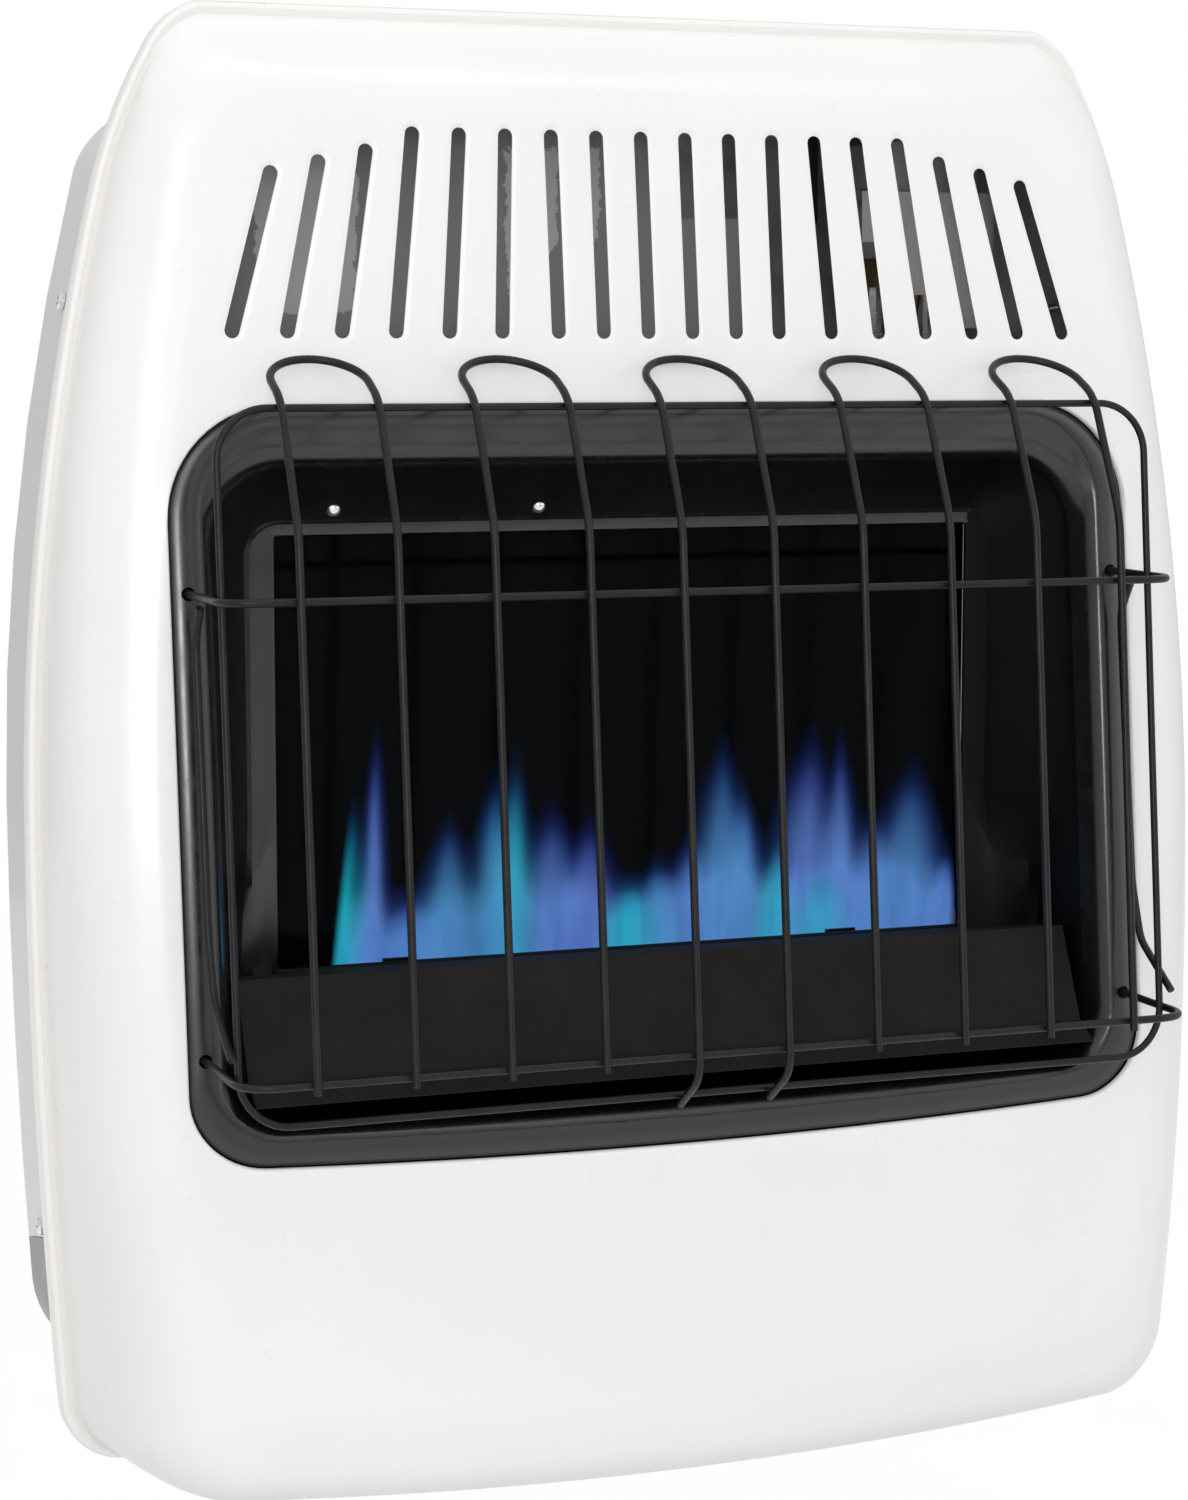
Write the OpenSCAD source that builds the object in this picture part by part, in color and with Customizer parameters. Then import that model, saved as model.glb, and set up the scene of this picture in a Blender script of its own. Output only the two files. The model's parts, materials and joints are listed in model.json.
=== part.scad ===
// Wall mounted blue flame gas heater: a pressed white front cover over a sheet steel
// casing, with a black window surround, a wire guard and the gas works inside.
// Frame: Z is up, the front faces -Y and the wall is the plane y = 0. The origin is
// the middle of the wall bracket's two screw holes.

/* [Front cover] */
// Width over the rim, at its widest
cover_w = 508.6; // [495:0.2:520]
// Height of the rim, from its top edge to its bottom edge
cover_h = 582.2; // [574:0.2:592]
// Height of the rim's top edge above the wall bracket
cover_top = 80.4; // [78:0.2:86]
// Height of the widest place, above the wall bracket
widest_z = -240; // [-260:1:-220]
// Radius of the upper part of each side, seen from the front
shoulder_r = 1030; // [960:10:1100]
// Height at which the shoulders start to draw in, above the wall bracket
shoulder_z = 10; // [0:1:20]
// Radius of the extra curve of the shoulders
shoulder_in_r = 202; // [180:2:400]
// Radius of the lower part of each side at the rim, seen from the front
lower_side_r = 3100; // [2800:50:5000]
// Radius of the lower part of each side at the face, seen from the front
lower_face_r = 1560; // [1300:10:2000]
// Radius of the bow along the bottom of the face, seen from the front
bottom_bow_r = 2900; // [2600:10:4500]
// Radius of the bow along the bottom of the rim, seen from the front
rim_bow_r = 9500; // [8000:100:20000]
// Corner radius of the rim at the top
rim_top_r = 15; // [12:1:20]
// Corner radius of the rim at the bottom
rim_bottom_r = 24; // [18:1:30]
// How much larger the top corners' radius is at the face
face_top_r = 25; // [10:1:28]
// How much larger the bottom corners' radius is at the face
face_bottom_r = 3; // [0:1:16]
// Distance from the wall to the front of the rim
rim_out = 90; // [88:0.5:94]
// Depth of the flange that turns back from the rim
rim_return = 9; // [6:0.5:11]
// Distance from the wall to the middle of the face, at the lower ends of the slots
face_out = 130; // [127:0.5:133]
// Lean of the face there, as a fall for each unit of height
face_lean = 0.115; // [0.105:0.001:0.12]
// Radius of the face's curve, seen from the side
face_side_r = 11500; // [10000:100:16000]
// Radius of the face's crown, seen from above
face_crown_r = 3185; // [2800:5:4000]
// Thickness of the cover's sheet
cover_t = 1; // [0.7:0.05:1.2]

/* [Slots] */
// Width of a slot
slot_w = 5.8; // [5:0.1:7]
// Height of the slots' lower ends above the wall bracket
slot_z = -50; // [-54:1:-46]
// Length of the long slots
slot_len = 82; // [70:1:86]
// Distance between the six middle slots, which are parallel
slot_pitch = 19; // [17:0.1:19.5]
// Distance between the lower ends of the slots that fan out
fan_foot = 21.6; // [20:0.1:22]
// Distance between the upper ends of the slots that fan out
fan_head = 19; // [18:0.1:19.6]
// Gap between the middle slots and the first one that fans out, at the lower ends
fan_gap = 23.4; // [21:0.1:24]

/* [Window surround] */
// Width of the opening in the cover
open_w = 414; // [408:1:418]
// Height of the opening's top edge above the wall bracket
open_top = -75; // [-78:1:-72]
// Height of the opening
open_h = 296.6; // [290:0.2:300]
// Corner radius of the opening at the top
open_top_r = 45; // [36:1:48]
// Corner radius of the opening at the bottom
open_bottom_r = 30; // [26:1:36]
// Radius of the bow along the opening's bottom edge, seen from the front
open_bow_r = 4700; // [4000:100:9000]
// Depth of the lip that turns in round the opening
lip_in = 3; // [2:0.1:3.5]
// Thickness of the surround's sheet
surround_t = 0.8; // [0.6:0.05:1]
// Distance from each side of the opening to the window
win_side_in = 53.5; // [51:0.5:57]
// Distance from the opening's top edge down to the window
win_top_in = 53; // [50:0.5:55]
// Distance from the opening's bottom edge up to the window
win_bottom_in = 68.6; // [67:0.2:75]
// Distance from the wall to the front of the window's edge
win_out = 86.5; // [85:0.25:88]
// Thickness of the window glass
glass_t = 4; // [3:0.5:4]

/* [Casing] */
// Gap, seen from the front, between the rim's edge and the casing's side
casing_in = 8.4; // [7.5:0.1:9]
// Height of the casing's top above the wall bracket
deck_z = 45; // [42:0.5:48]
// Height of the casing's bottom above the wall bracket
casing_bottom = -484.4; // [-486:0.2:-480]
// Corner radius of the casing at the top
casing_top_r = 26; // [22:1:30]
// Corner radius of the casing at the bottom
casing_bottom_r = 39; // [34:1:44]
// Height, at the wall, of the seam between the casing's wrapper and its base pan
seam_z = -427.3; // [-430:0.1:-424]
// Angle at which the seam rises towards the front
seam_rise = 13; // [8:0.5:14]
// Thickness of the casing's sheet
sheet_t = 0.9; // [0.7:0.05:1]
// Diameter of a casing screw's head
screw_head_d = 7.5; // [6:0.1:8]

/* [Wall bracket] */
// Distance between the bracket's two screw holes
wall_pitch = 406.4; // [400:0.1:408]
// Radius of the bracket's screw holes
wall_hole_r = 3.2; // [2.6:0.1:3.6]
// Height of the bracket's strip
bracket_h = 30; // [26:1:30]
// Thickness of the bracket's strip
bracket_t = 1.5; // [1:0.1:1.8]
// Distance between the two lower fixing holes in the back panel
low_pitch = 300; // [280:1:320]
// Height of the lower fixing holes above the wall bracket
low_hole_z = -440; // [-445:1:-435]

/* [Guard] */
// Diameter of the guard's wire
wire_d = 3.2; // [2.6:0.1:3.4]
// Distance between the upright wires
bar_pitch = 38.1; // [36:0.1:39]
// Distance from each side of the opening to the middle of the ring's wire
ring_side_in = 11; // [10:0.5:14]
// Distance from the opening's top edge down to the ring's top wire
ring_top_in = 1; // [0:0.5:3]
// Distance from the opening's bottom edge up to the ring's bottom wire
ring_bottom_in = 27.6; // [24:0.2:30]
// Corner radius of the ring
ring_r = 20; // [16:1:24]
// Distance from the wall to the middle of the ring's top wire
ring_out = 162.5; // [160:0.5:164]
// Lean of the ring, as a fall towards the wall for each unit of height
ring_lean = 0.0953; // [0.09:0.0005:0.1]
// Distance from the wall to the lower ends of the upright wires
bar_out = 208.4; // [206:0.2:212]
// Distance from the opening's bottom edge up to those lower ends
bar_foot_in = 43.1; // [41:0.1:44]
// Lean of the upright wires
bar_lean = 0.0942; // [0.09:0.0002:0.1]
// Distance from the opening's top edge down to the upper cross wire
upper_wire_in = 72; // [69:0.5:75]
// Distance from the opening's bottom edge up to the lower cross wire
lower_wire_in = 46.5; // [45:0.1:47]
// Length of the loops at the top, from the ring to their tips
loop_run = 33.3; // [30:0.1:36]
// Angle at which the loops rise towards the cover
loop_rise = 26.6; // [24:0.2:29]

/* [Controls] */
// Distance from the middle of the heater to the control knob's axis
knob_x = 145; // [143:0.5:147]
// Distance from the wall to the axis of the knob and of the igniter
control_out = 48; // [46:0.5:50]
// Diameter of the knob
knob_d = 34; // [32:0.5:35]
// Height of the knob
knob_h = 20; // [17:0.5:21]
// Travel of the knob when it is pushed in
knob_travel = 3; // [2:0.25:3.5]
// Diameter of the valve's spindle
spindle_d = 8; // [7:0.25:9]
// Distance from the middle of the heater to the igniter's axis
igniter_x = 92; // [88:0.5:94]
// Diameter of the igniter's button
button_d = 11; // [9:0.25:12]
// Travel of the igniter's button
button_travel = 6; // [4:0.25:7]

/* [Burner] */
// Diameter of the burner tube
burner_d = 28; // [26:0.5:28]
// Length of the burner tube
burner_len = 278; // [260:1:282]
// Distance from the window's lower edge down to the burner tube's axis
burner_drop = 23; // [21:0.5:24]
// Distance from the wall to the burner tube's axis
burner_out = 54; // [53:0.5:55]
// Number of ports in each of the burner's two rows
port_count = 20; // [12:1:26]
// Diameter of a port
port_d = 3; // [2:0.1:3.4]
// Radius of the gas inlet's threaded hole
inlet_r = 7.6; // [7:0.1:8]
// Length of the gas inlet's threaded hole
inlet_len = 16; // [12:0.5:18]

/* [Hidden] */
$fn = 48;

fit = 0.05;             // running fit, on the radius
gap = 0.3;              // gap between pieces that only lie beside each other
joint_gap = 0.15;       // gap where wires are welded to each other
rim_bottom = cover_top - cover_h;
open_bottom = open_top - open_h;
win_w = open_w - 2 * win_side_in;
win_top = open_top - win_top_in;
win_bottom = open_bottom + win_bottom_in;
win_h = win_top - win_bottom;
ring_w = open_w - 2 * ring_side_in;
ring_top = open_top - ring_top_in;
ring_bottom = open_bottom + ring_bottom_in;
bar_foot_z = open_bottom + bar_foot_in;
upper_wire_z = open_top - upper_wire_in;
lower_wire_z = open_bottom + lower_wire_in;
burner_z = win_bottom - burner_drop;

// ---------------------------------------------------------------- the cover's shape

// Half the cover's width at height z: an arc above the widest place, a tighter one at
// the shoulders and one below. Share is 0 at the rim and 1 at the face.
function half_w(z, share = 0) = let (
    below = share / lower_face_r + (1 - share) / lower_side_r,
    curve = z > widest_z ? 1 / shoulder_r : below)
    cover_w / 2 - pow(z - widest_z, 2) * curve / 2
    - pow(max(z - shoulder_z, 0), 2) / (2 * shoulder_in_r);

// How far the bowed bottom edge lifts a point
function bow(x, z, zb, share) = let (
    f = min(share * 4, 1),
    curve = f / bottom_bow_r + (1 - f) / rim_bow_r)
    x * x * curve / 2 * pow(max(widest_z - z, 0) / (widest_z - zb), 2);

// Where the crowned, leaning face lies
function face_y(x, z) = -face_out + face_lean * (z - slot_z)
    + pow(z - slot_z, 2) / (2 * face_side_r) + x * x / (2 * face_crown_r);

function arc_pts(cx, cz, r, a0, a1, n) =
    [for (k = [0:n]) let (a = a0 + (a1 - a0) * k / n) [cx + r * cos(a), cz + r * sin(a)]];

function line_pts(p, q, n) = [for (k = [1:n - 1]) p + (q - p) * k / n];

// Steps in a loop: at each corner, along the top or bottom, and along a side
corner_n = 5;
width_n = 8;
height_n = 9;
casing_corner_n = 10;

// A rounded rectangle, anticlockwise as seen from the front, as [x, z] points
function rounded_loop(hw, zb, zt, rb, rt, n = corner_n) = concat(
    arc_pts(hw - rb, zb + rb, rb, -90, 0, n),
    line_pts([hw, zb + rb], [hw, zt - rt], height_n),
    arc_pts(hw - rt, zt - rt, rt, 0, 90, n),
    line_pts([hw - rt, zt], [rt - hw, zt], width_n),
    arc_pts(rt - hw, zt - rt, rt, 90, 180, n),
    line_pts([-hw, zt - rt], [-hw, zb + rb], height_n),
    arc_pts(rb - hw, zb + rb, rb, 180, 270, n),
    line_pts([rb - hw, zb], [hw - rb, zb], width_n));

// The same loop drawn in to the cover's barrel outline, at a gap inside the rim
function barrel_loop(side, zb, zt, rb, rt, share = 0) =
    [for (p = rounded_loop(cover_w / 2 - side, zb, zt, rb, rt))
        [p[0] * (half_w(p[1], share) - side) / (cover_w / 2 - side),
         p[1] + bow(p[0], p[1], zb, share)]];

// The pressing from the rim to the face. Each row holds the distance behind the rim,
// the share of the way out to the face, and the gaps inside the rim's edge at the
// sides, the top and the bottom.
press_rows = [
    [rim_return, 0,    0,    0,    0],
    [2.4,        0,    0,    0,    0],
    [0.7,        0,    0.7,  0.7,  0.7],
    [0,          0,    2.4,  2.4,  2.2],
    [1.3,        0,    4.4,  5.2,  3],
    [0.6,        0.04, 5,    8,    2],
    [0,          0.25, 5.4,  14,   -3],
    [0,          0.50, 8,    19,   -4.5],
    [0,          0.70, 12.5, 23,   -5.5],
    [0,          0.85, 19,   27,   -4],
    [0,          0.95, 27.5, 32.5, 6],
    [0,          1,    40,   43,   29]];

function on_press(p, back, share) =
    [p[0], -rim_out + back + share * (face_y(p[0], p[1]) + rim_out), p[1]];

function press_loop(row) =
    [for (p = barrel_loop(row[2], rim_bottom + row[4], cover_top - row[3],
                          rim_bottom_r + face_bottom_r * row[1],
                          rim_top_r + face_top_r * row[1], row[1]))
        on_press(p, row[0], row[1])];

// How far the bowed bottom edge of the opening lifts a point
function open_bow(x, z) = let (mid = (open_top + open_bottom) / 2)
    x * x / (2 * open_bow_r) * pow(max(mid - z, 0) / (mid - open_bottom), 2);

function opening_loop(grow) =
    [for (p = rounded_loop(open_w / 2 + grow, open_bottom - grow, open_top + grow,
                           open_bottom_r + grow, open_top_r + grow))
        [p[0], p[1] + open_bow(p[0], p[1])]];

// A loop of the face between the pressing and the opening
function face_loop(share) = let (
    out = press_loop(press_rows[len(press_rows) - 1]),
    in = opening_loop(0))
    [for (i = [0:len(in) - 1]) let (
        p = [out[i][0], out[i][2]] * (1 - share) + in[i] * share)
        [p[0], face_y(p[0], p[1]), p[1]]];

function lip_loop(grow, back) =
    [for (p = opening_loop(grow)) [p[0], face_y(p[0], p[1]) + back, p[1]]];

// ---------------------------------------------------------------- lofts and sweeps

function unit(v) = v / norm(v);

// The outward normal at each point of a skin of loops
function skin_normals(loops) = let (rows = len(loops), n = len(loops[0]))
    [for (j = [0:rows - 1]) [for (i = [0:n - 1]) unit(cross(
        loops[j][(i + 1) % n] - loops[j][(i + n - 1) % n],
        loops[min(j + 1, rows - 1)][i] - loops[max(j - 1, 0)][i]))]];

// A sheet of one thickness under a skin of loops that run from its rim inwards
module sheet_loft(loops, t) {
    rows = len(loops);
    n = len(loops[0]);
    normals = skin_normals(loops);
    skin = [for (row = loops) each row];
    under = [for (j = [0:rows - 1]) for (i = [0:n - 1]) loops[j][i] - t * normals[j][i]];
    u = rows * n;
    last = u - n;
    faces = [for (j = [0:rows - 2]) for (i = [0:n - 1]) let (
                 a = j * n + i, b = j * n + (i + 1) % n, c = b + n, d = a + n)
                 each [[a, d, c], [a, c, b], [a + u, b + u, c + u], [a + u, c + u, d + u]]];
    edges = [for (i = [0:n - 1]) let (a = i, b = (i + 1) % n, c = last + b, d = last + a)
                 each [[a, b, b + u], [a, b + u, a + u], [c, d, d + u], [c, d + u, c + u]]];
    polyhedron(points = concat(skin, under), faces = concat(faces, edges), convexity = 10);
}

// A path with its corners rounded to bends that start r from each corner
function bent(path, r, n = 4) = [
    path[0],
    for (i = [1:len(path) - 2]) let (
        p = path[i],
        a = p + unit(path[i - 1] - p) * r,
        b = p + unit(path[i + 1] - p) * r)
        for (k = [0:n]) let (f = k / n)
            a * (1 - f) * (1 - f) + p * 2 * f * (1 - f) + b * f * f,
    path[len(path) - 1]];

// A round wire or pipe along a path, and closed into a ring if asked
module tube_along(path, d, sides = 8, closed = false, start = [0, 1, 0]) {
    n = len(path);
    function at(i) = path[closed ? (i + n) % n : min(max(i, 0), n - 1)];
    tangents = [for (i = [0:n - 1]) unit(at(i + 1) - at(i - 1))];
    ups = [for (i = 0, u = start; i < n; i = i + 1,
                u = unit(u - (u * tangents[min(i, n - 1)]) * tangents[min(i, n - 1)]))
               unit(u - (u * tangents[i]) * tangents[i])];
    points = [for (i = [0:n - 1]) for (k = [0:sides - 1]) let (
                  a = 360 * (k + 0.5) / sides, v = cross(tangents[i], ups[i]))
                  path[i] + d / 2 * (cos(a) * ups[i] + sin(a) * v)];
    walls = [for (i = [0:n - (closed ? 1 : 2)]) for (k = [0:sides - 1]) let (
                 a = i * sides + k, b = i * sides + (k + 1) % sides,
                 c = ((i + 1) % n) * sides + (k + 1) % sides,
                 e = ((i + 1) % n) * sides + k)
                 each [[a, e, c], [a, c, b]]];
    caps = closed ? [] : [[for (k = [0:sides - 1]) k],
                          [for (k = [sides - 1:-1:0]) (n - 1) * sides + k]];
    polyhedron(points = points, faces = concat(walls, caps), convexity = 6);
}

// ---------------------------------------------------------------- small helpers

// Turns a flat shape drawn as [x, z] into a plate from y0 to y1
module plate(y0, y1) {
    translate([0, y1, 0]) rotate([90, 0, 0]) linear_extrude(y1 - y0) children();
}

// Turns a flat shape drawn as [y, z] into a bar from x0 to x1
module bar(x0, x1) {
    translate([x0, 0, 0]) rotate([90, 0, 90]) linear_extrude(x1 - x0) children();
}

// A block given by its lowest and highest corners
module block(lo, hi) {
    translate(lo) cube(hi - lo);
}

// A rod between two heights on an upright axis
module rod_z(x, y, z0, z1, d) {
    translate([x, y, z0]) cylinder(d = d, h = z1 - z0);
}

// A rod along Y from y0 to y1
module rod_y(x, z, y0, y1, d) {
    translate([x, y1, z]) rotate([90, 0, 0]) cylinder(d = d, h = y1 - y0);
}

// A rod along X from x0 to x1
module rod_x(y, z, x0, x1, d) {
    translate([x0, y, z]) rotate([0, 90, 0]) cylinder(d = d, h = x1 - x0);
}

// ---------------------------------------------------------------- front cover

// Both ends of slot number k, counted from the middle outwards, as [x, z] points
function slot_ends(k) = let (
    fan = k - 3,
    inner = slot_pitch * 2.5,
    foot = k < 3 ? slot_pitch * (k + 0.5) : inner + fan_gap + fan_foot * fan,
    head = k < 3 ? foot : inner + fan_head * (fan + 1),
    drop = k < 6 ? 0 : 7 + 4.5 * (k - 6))
    [[foot, slot_z + slot_w / 2], [head, slot_z + slot_len - drop - slot_w / 2]];

module slot_shape(ends) {
    run = ends[1] - ends[0];
    across = slot_w / 2 * [run[1], -run[0]] / norm(run);
    translate(ends[0]) circle(d = slot_w, $fn = 16);
    translate(ends[1]) circle(d = slot_w, $fn = 16);
    polygon([ends[0] + across, ends[1] + across, ends[1] - across, ends[0] - across]);
}

module front_cover() color([0.95, 0.95, 0.94]) difference() {
    sheet_loft(concat(
        [for (row = press_rows) press_loop(row)],
        [face_loop(0.5), lip_loop(0.8, 0), lip_loop(0.2, 0.5), lip_loop(0, 1.6),
         lip_loop(0, lip_in)]), cover_t);
    plate(-rim_out - 90, -rim_out - 5) for (k = [0:8]) {
        slot_shape(slot_ends(k));
        mirror([1, 0]) slot_shape(slot_ends(k));
    }
}

// ---------------------------------------------------------------- window surround

// Rows of the surround's skin: the distance behind the face, then the gaps inside the
// opening's edge at the sides, the top and the bottom
flange_back = lip_in + gap;
flange_rows = [
    [flange_back,       -4,   -4,   -4],
    [flange_back,       0.5,  0.5,  0.5],
    [flange_back - 1.4, 6,    3.5,  6],
    [flange_back - 1,   12,   6,    11.5],
    [flange_back + 1.5, 15,   7.5,  14],
    [flange_back + 6,   16.6, 13,   15.6],
    [flange_back + 14,  18,   22,   16.6],
    [flange_back + 21,  19.5, 29,   17.4]];

// Rows of its back: the distance in front of the window's edge, then the gaps
back_rows = [
    [13.5, 22,   33,   18.4],
    [10.5, 25,   35.5, 20],
    [10,   36,   37.5, 24],
    [8,    41,   39.5, 30]];

// The opening's loop drawn in to a row, with its corners drawn in less than its sides
function inset_loop(row) = let (tighter = row[1] * 0.45)
    rounded_loop(open_w / 2 - row[1], open_bottom + row[3], open_top - row[2],
                 open_bottom_r - tighter, open_top_r - tighter);

function flange_loop(row) =
    [for (p = inset_loop(row)) let (z = p[1] + open_bow(p[0], p[1]))
        [p[0], face_y(p[0], z) + row[0], z]];

function back_loop(row) = [for (p = inset_loop(row)) [p[0], -win_out - row[0], p[1]]];

function window_loop(grow, out) =
    [for (p = rounded_loop(win_w / 2 + grow, win_bottom - grow, win_top + grow, 4, 4))
        [p[0], -win_out - out, p[1]]];

// The wires' legs pass through four holes in the flange that hold the guard
weld = wire_d + joint_gap;          // between the middles of wires welded together
leg_x = ring_w / 2 + weld + 0.1;
guard_hole_d = wire_d + gap;

module window_surround() color([0.11, 0.11, 0.12]) difference() {
    sheet_loft(concat([for (row = flange_rows) flange_loop(row)],
                      [for (row = back_rows) back_loop(row)],
                      [window_loop(3, 1.5), window_loop(0, 0)]), surround_t);
    for (side = [-1, 1], z = [upper_wire_z, lower_wire_z])
        rod_y(side * leg_x, z, -face_out - 60, -face_out + 60, guard_hole_d);
    for (x = top_clip_x) on_bevel(x)
        translate([0, 0, -3]) cylinder(d = clip_screw_d + 0.6, h = 5);
}

// The dark panel below the window: a folded sheet, drawn as [y, z] points behind and
// above the face's place at the opening's bottom edge
panel_w = open_w - 51;
lip_start = [face_y(0, open_bottom), open_bottom];
ledge_back = [-win_out - 1.35, win_bottom - 1.2];
panel_top = lip_start + [33.8, 73];
panel_foot = lip_start + [16.9, 35.6];
panel_lip = lip_start + [5.4, 28.6];

module lower_panel() color([0.16, 0.15, 0.15]) difference() {
    t = surround_t;
    bar(-panel_w / 2, panel_w / 2) polygon([
        ledge_back, panel_top, panel_foot, panel_lip, panel_lip + [0.5, -t],
        panel_foot + [0.8, -t], panel_top + [t, -t], ledge_back + [0, -t]]);
    for (s = [0, 1]) mirror([s, 0, 0])
        block([win_w / 2 - 2, -win_out - 15, win_bottom - 10],
              [panel_w, -win_out + 10, win_bottom + 10]);
}

// ---------------------------------------------------------------- window

glass_front = -win_out + surround_t + 1.8;
glass_lap = 6;

module glass_shape(grow) {
    translate([-win_w / 2 - grow, win_bottom - grow])
        square([win_w + 2 * grow, win_h + 2 * grow]);
}

module window_glass() color([0.3, 0.3, 0.32, 0.35])
    plate(glass_front, glass_front + glass_t) glass_shape(glass_lap);

module glass_gasket() color([0.75, 0.74, 0.7])
    plate(glass_front - 1.7, glass_front - 0.05) difference() {
        glass_shape(glass_lap);
        glass_shape(1);
    }

// Clips behind the glass: two at the top, held by screws, and two at the bottom
clip_w = 14;
clip_t = 1.2;
clip_back = glass_front + glass_t + 0.1 + clip_t;
top_clip_x = [-130, -43];
low_clip_x = [-100, 100];
low_clip_z = win_bottom - 13.8;
low_clip_tab = -win_out - 1.7;
clip_screw_d = 3;

// The bevel above the window, which the top clips and their screws sit square on: the
// place of the screws as a [y, z] point, and the way down it
bevel_start = [-win_out - back_rows[3][0], open_top - back_rows[3][2]];
bevel_down = unit([-win_out - 1.5, win_top + 3] - bevel_start);
bevel_in = [-bevel_down[1], bevel_down[0]];
bevel_mid = bevel_start + 4 * bevel_down;

module on_bevel(x) translate([x, bevel_mid[0], bevel_mid[1]])
    rotate([90 + atan(bevel_down[0] / -bevel_down[1]), 0, 0]) children();

module glass_clips() color([0.7, 0.7, 0.7]) {
    tab = bevel_mid + (surround_t + gap) * bevel_in;
    low = tab + 4.5 * bevel_down;
    high = tab - 4.5 * bevel_down;
    inner = high + clip_t * bevel_in + 0.6 * bevel_down;
    for (x = top_clip_x) difference() {
        bar(x - clip_w / 2, x + clip_w / 2) polygon([
            [clip_back, win_top], [clip_back, high[1] + clip_t], [high[0], high[1] + clip_t],
            high, low, low + clip_t * bevel_in, [inner[0], high[1]],
            [clip_back - clip_t, high[1]], [clip_back - clip_t, win_top]]);
        on_bevel(x) translate([0, 0, -6]) cylinder(d = clip_screw_d + 2 * fit, h = 6);
    }
    for (x = low_clip_x)
        bar(x - clip_w / 2, x + clip_w / 2) polygon([
            [clip_back, win_bottom], [clip_back - clip_t, win_bottom],
            [clip_back - clip_t, low_clip_z + clip_t], [low_clip_tab, low_clip_z + clip_t],
            [low_clip_tab, low_clip_z - 12], [low_clip_tab + clip_t, low_clip_z - 12],
            [low_clip_tab + clip_t, low_clip_z], [clip_back, low_clip_z]]);
}

module clip_screws() color([0.85, 0.85, 0.85]) for (x = top_clip_x) on_bevel(x) {
    translate([0, 0, 0.1]) intersection() {
        translate([0, 0, -1.6]) sphere(r = 3.4);
        cylinder(r = 4, h = 4);
    }
    translate([0, 0, -4]) cylinder(d = clip_screw_d, h = 4.2);
}

// ---------------------------------------------------------------- guard

function ring_y(z) = -ring_out + ring_lean * (z - ring_top);
function bar_y(z) = -bar_out + bar_lean * (z - bar_foot_z);

module wire(path, start = [0, 1, 0], closed = false) {
    tube_along(path, wire_d, 8, closed, start);
}

module guard_ring() color([0.1, 0.1, 0.1]) {
    zb = ring_bottom;
    hw = ring_w / 2;
    flat = concat(arc_pts(hw - ring_r, zb + ring_r, ring_r, -90, 0, 5),
                  arc_pts(hw - ring_r, ring_top - ring_r, ring_r, 0, 90, 5),
                  arc_pts(ring_r - hw, ring_top - ring_r, ring_r, 90, 180, 5),
                  arc_pts(ring_r - hw, zb + ring_r, ring_r, 180, 270, 5));
    wire([for (p = flat) [p[0], ring_y(p[1]), p[1]]], [0, 1, -ring_lean], true);
}

// One side of a hairpin wire as [y, z] points, from its lower end to its crossing over
// the ring's top wire; only the middle hairpin runs back under the ring's bottom wire
ring_cross = [-ring_out, ring_top] + (weld + 1.25) * [-0.729, 0.685];
ring_under = [ring_y(ring_bottom), ring_bottom];
bar_bend = open_top - 46.5;
bar_side = [[bar_y(bar_foot_z), bar_foot_z], [bar_y(bar_bend), bar_bend], ring_cross];
bar_tail = [ring_under + weld * [-0.66, -0.753] + 2 * [0.753, -0.66],
            [bar_y(bar_foot_z) - 0.4, bar_foot_z - 5]];

module hairpin(xc, tail) {
    r = bar_pitch / 2;
    side = tail ? concat(bar_tail, [bar_side[1], bar_side[2]]) : bar_side;
    along = [cos(loop_rise), sin(loop_rise)];
    arc = [for (k = [0:8]) let (
        a = 180 - 22.5 * k,
        p = ring_cross + (loop_run - r + r * sin(a)) * along)
        [xc + r * cos(a), p[0], p[1]]];
    function half(s) = bent(concat([for (p = side) [xc + s * r, p[0], p[1]]],
                                   [s < 0 ? arc[0] : arc[8]]), 8, 3);
    left = half(-1);
    right = half(1);
    wire(concat(left, [for (k = [1:7]) arc[k]],
                [for (k = [len(right) - 1:-1:0]) right[k]]), [1, 0, 0]);
}

module guard_bars() color([0.1, 0.1, 0.1])
    for (k = [-2:2]) hairpin(2 * k * bar_pitch, k == 0);

module cross_wire(z) {
    front = bar_y(z) + weld + 0.05;
    end = face_y(leg_x, z) + flange_back + 7;
    wire(bent([[-leg_x, end, z], [-leg_x, front, z], [leg_x, front, z], [leg_x, end, z]],
              15, 5), [0, 0, 1]);
}

module guard_upper_wire() color([0.1, 0.1, 0.1]) cross_wire(upper_wire_z);
module guard_lower_wire() color([0.1, 0.1, 0.1]) cross_wire(lower_wire_z);

// The side braces as [y, z] points, from the upper leg down to the ring
brace = [[-150, upper_wire_z - 4], [-142, upper_wire_z - 17], [-156, lower_wire_z + 48],
         [-164, lower_wire_z + 25], [-189.5, lower_wire_z + 8]];

module guard_side_braces() color([0.1, 0.1, 0.1]) for (s = [-1, 1])
    wire(bent([for (p = brace) [s * (ring_w / 2 + weld), p[0], p[1]]], 5, 3), [1, 0, 0]);

// ---------------------------------------------------------------- casing

casing_front = -rim_out + 1.3 + cover_t + gap;
panel_back = -bracket_t - gap;
panel_t = 1;
panel_front = panel_back - panel_t;
screw_out = 36;
tab_y = [-screw_out - 10, -screw_out + 10];
screw_zs = [-35, -414];
shank_d = 3.9;

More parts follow.
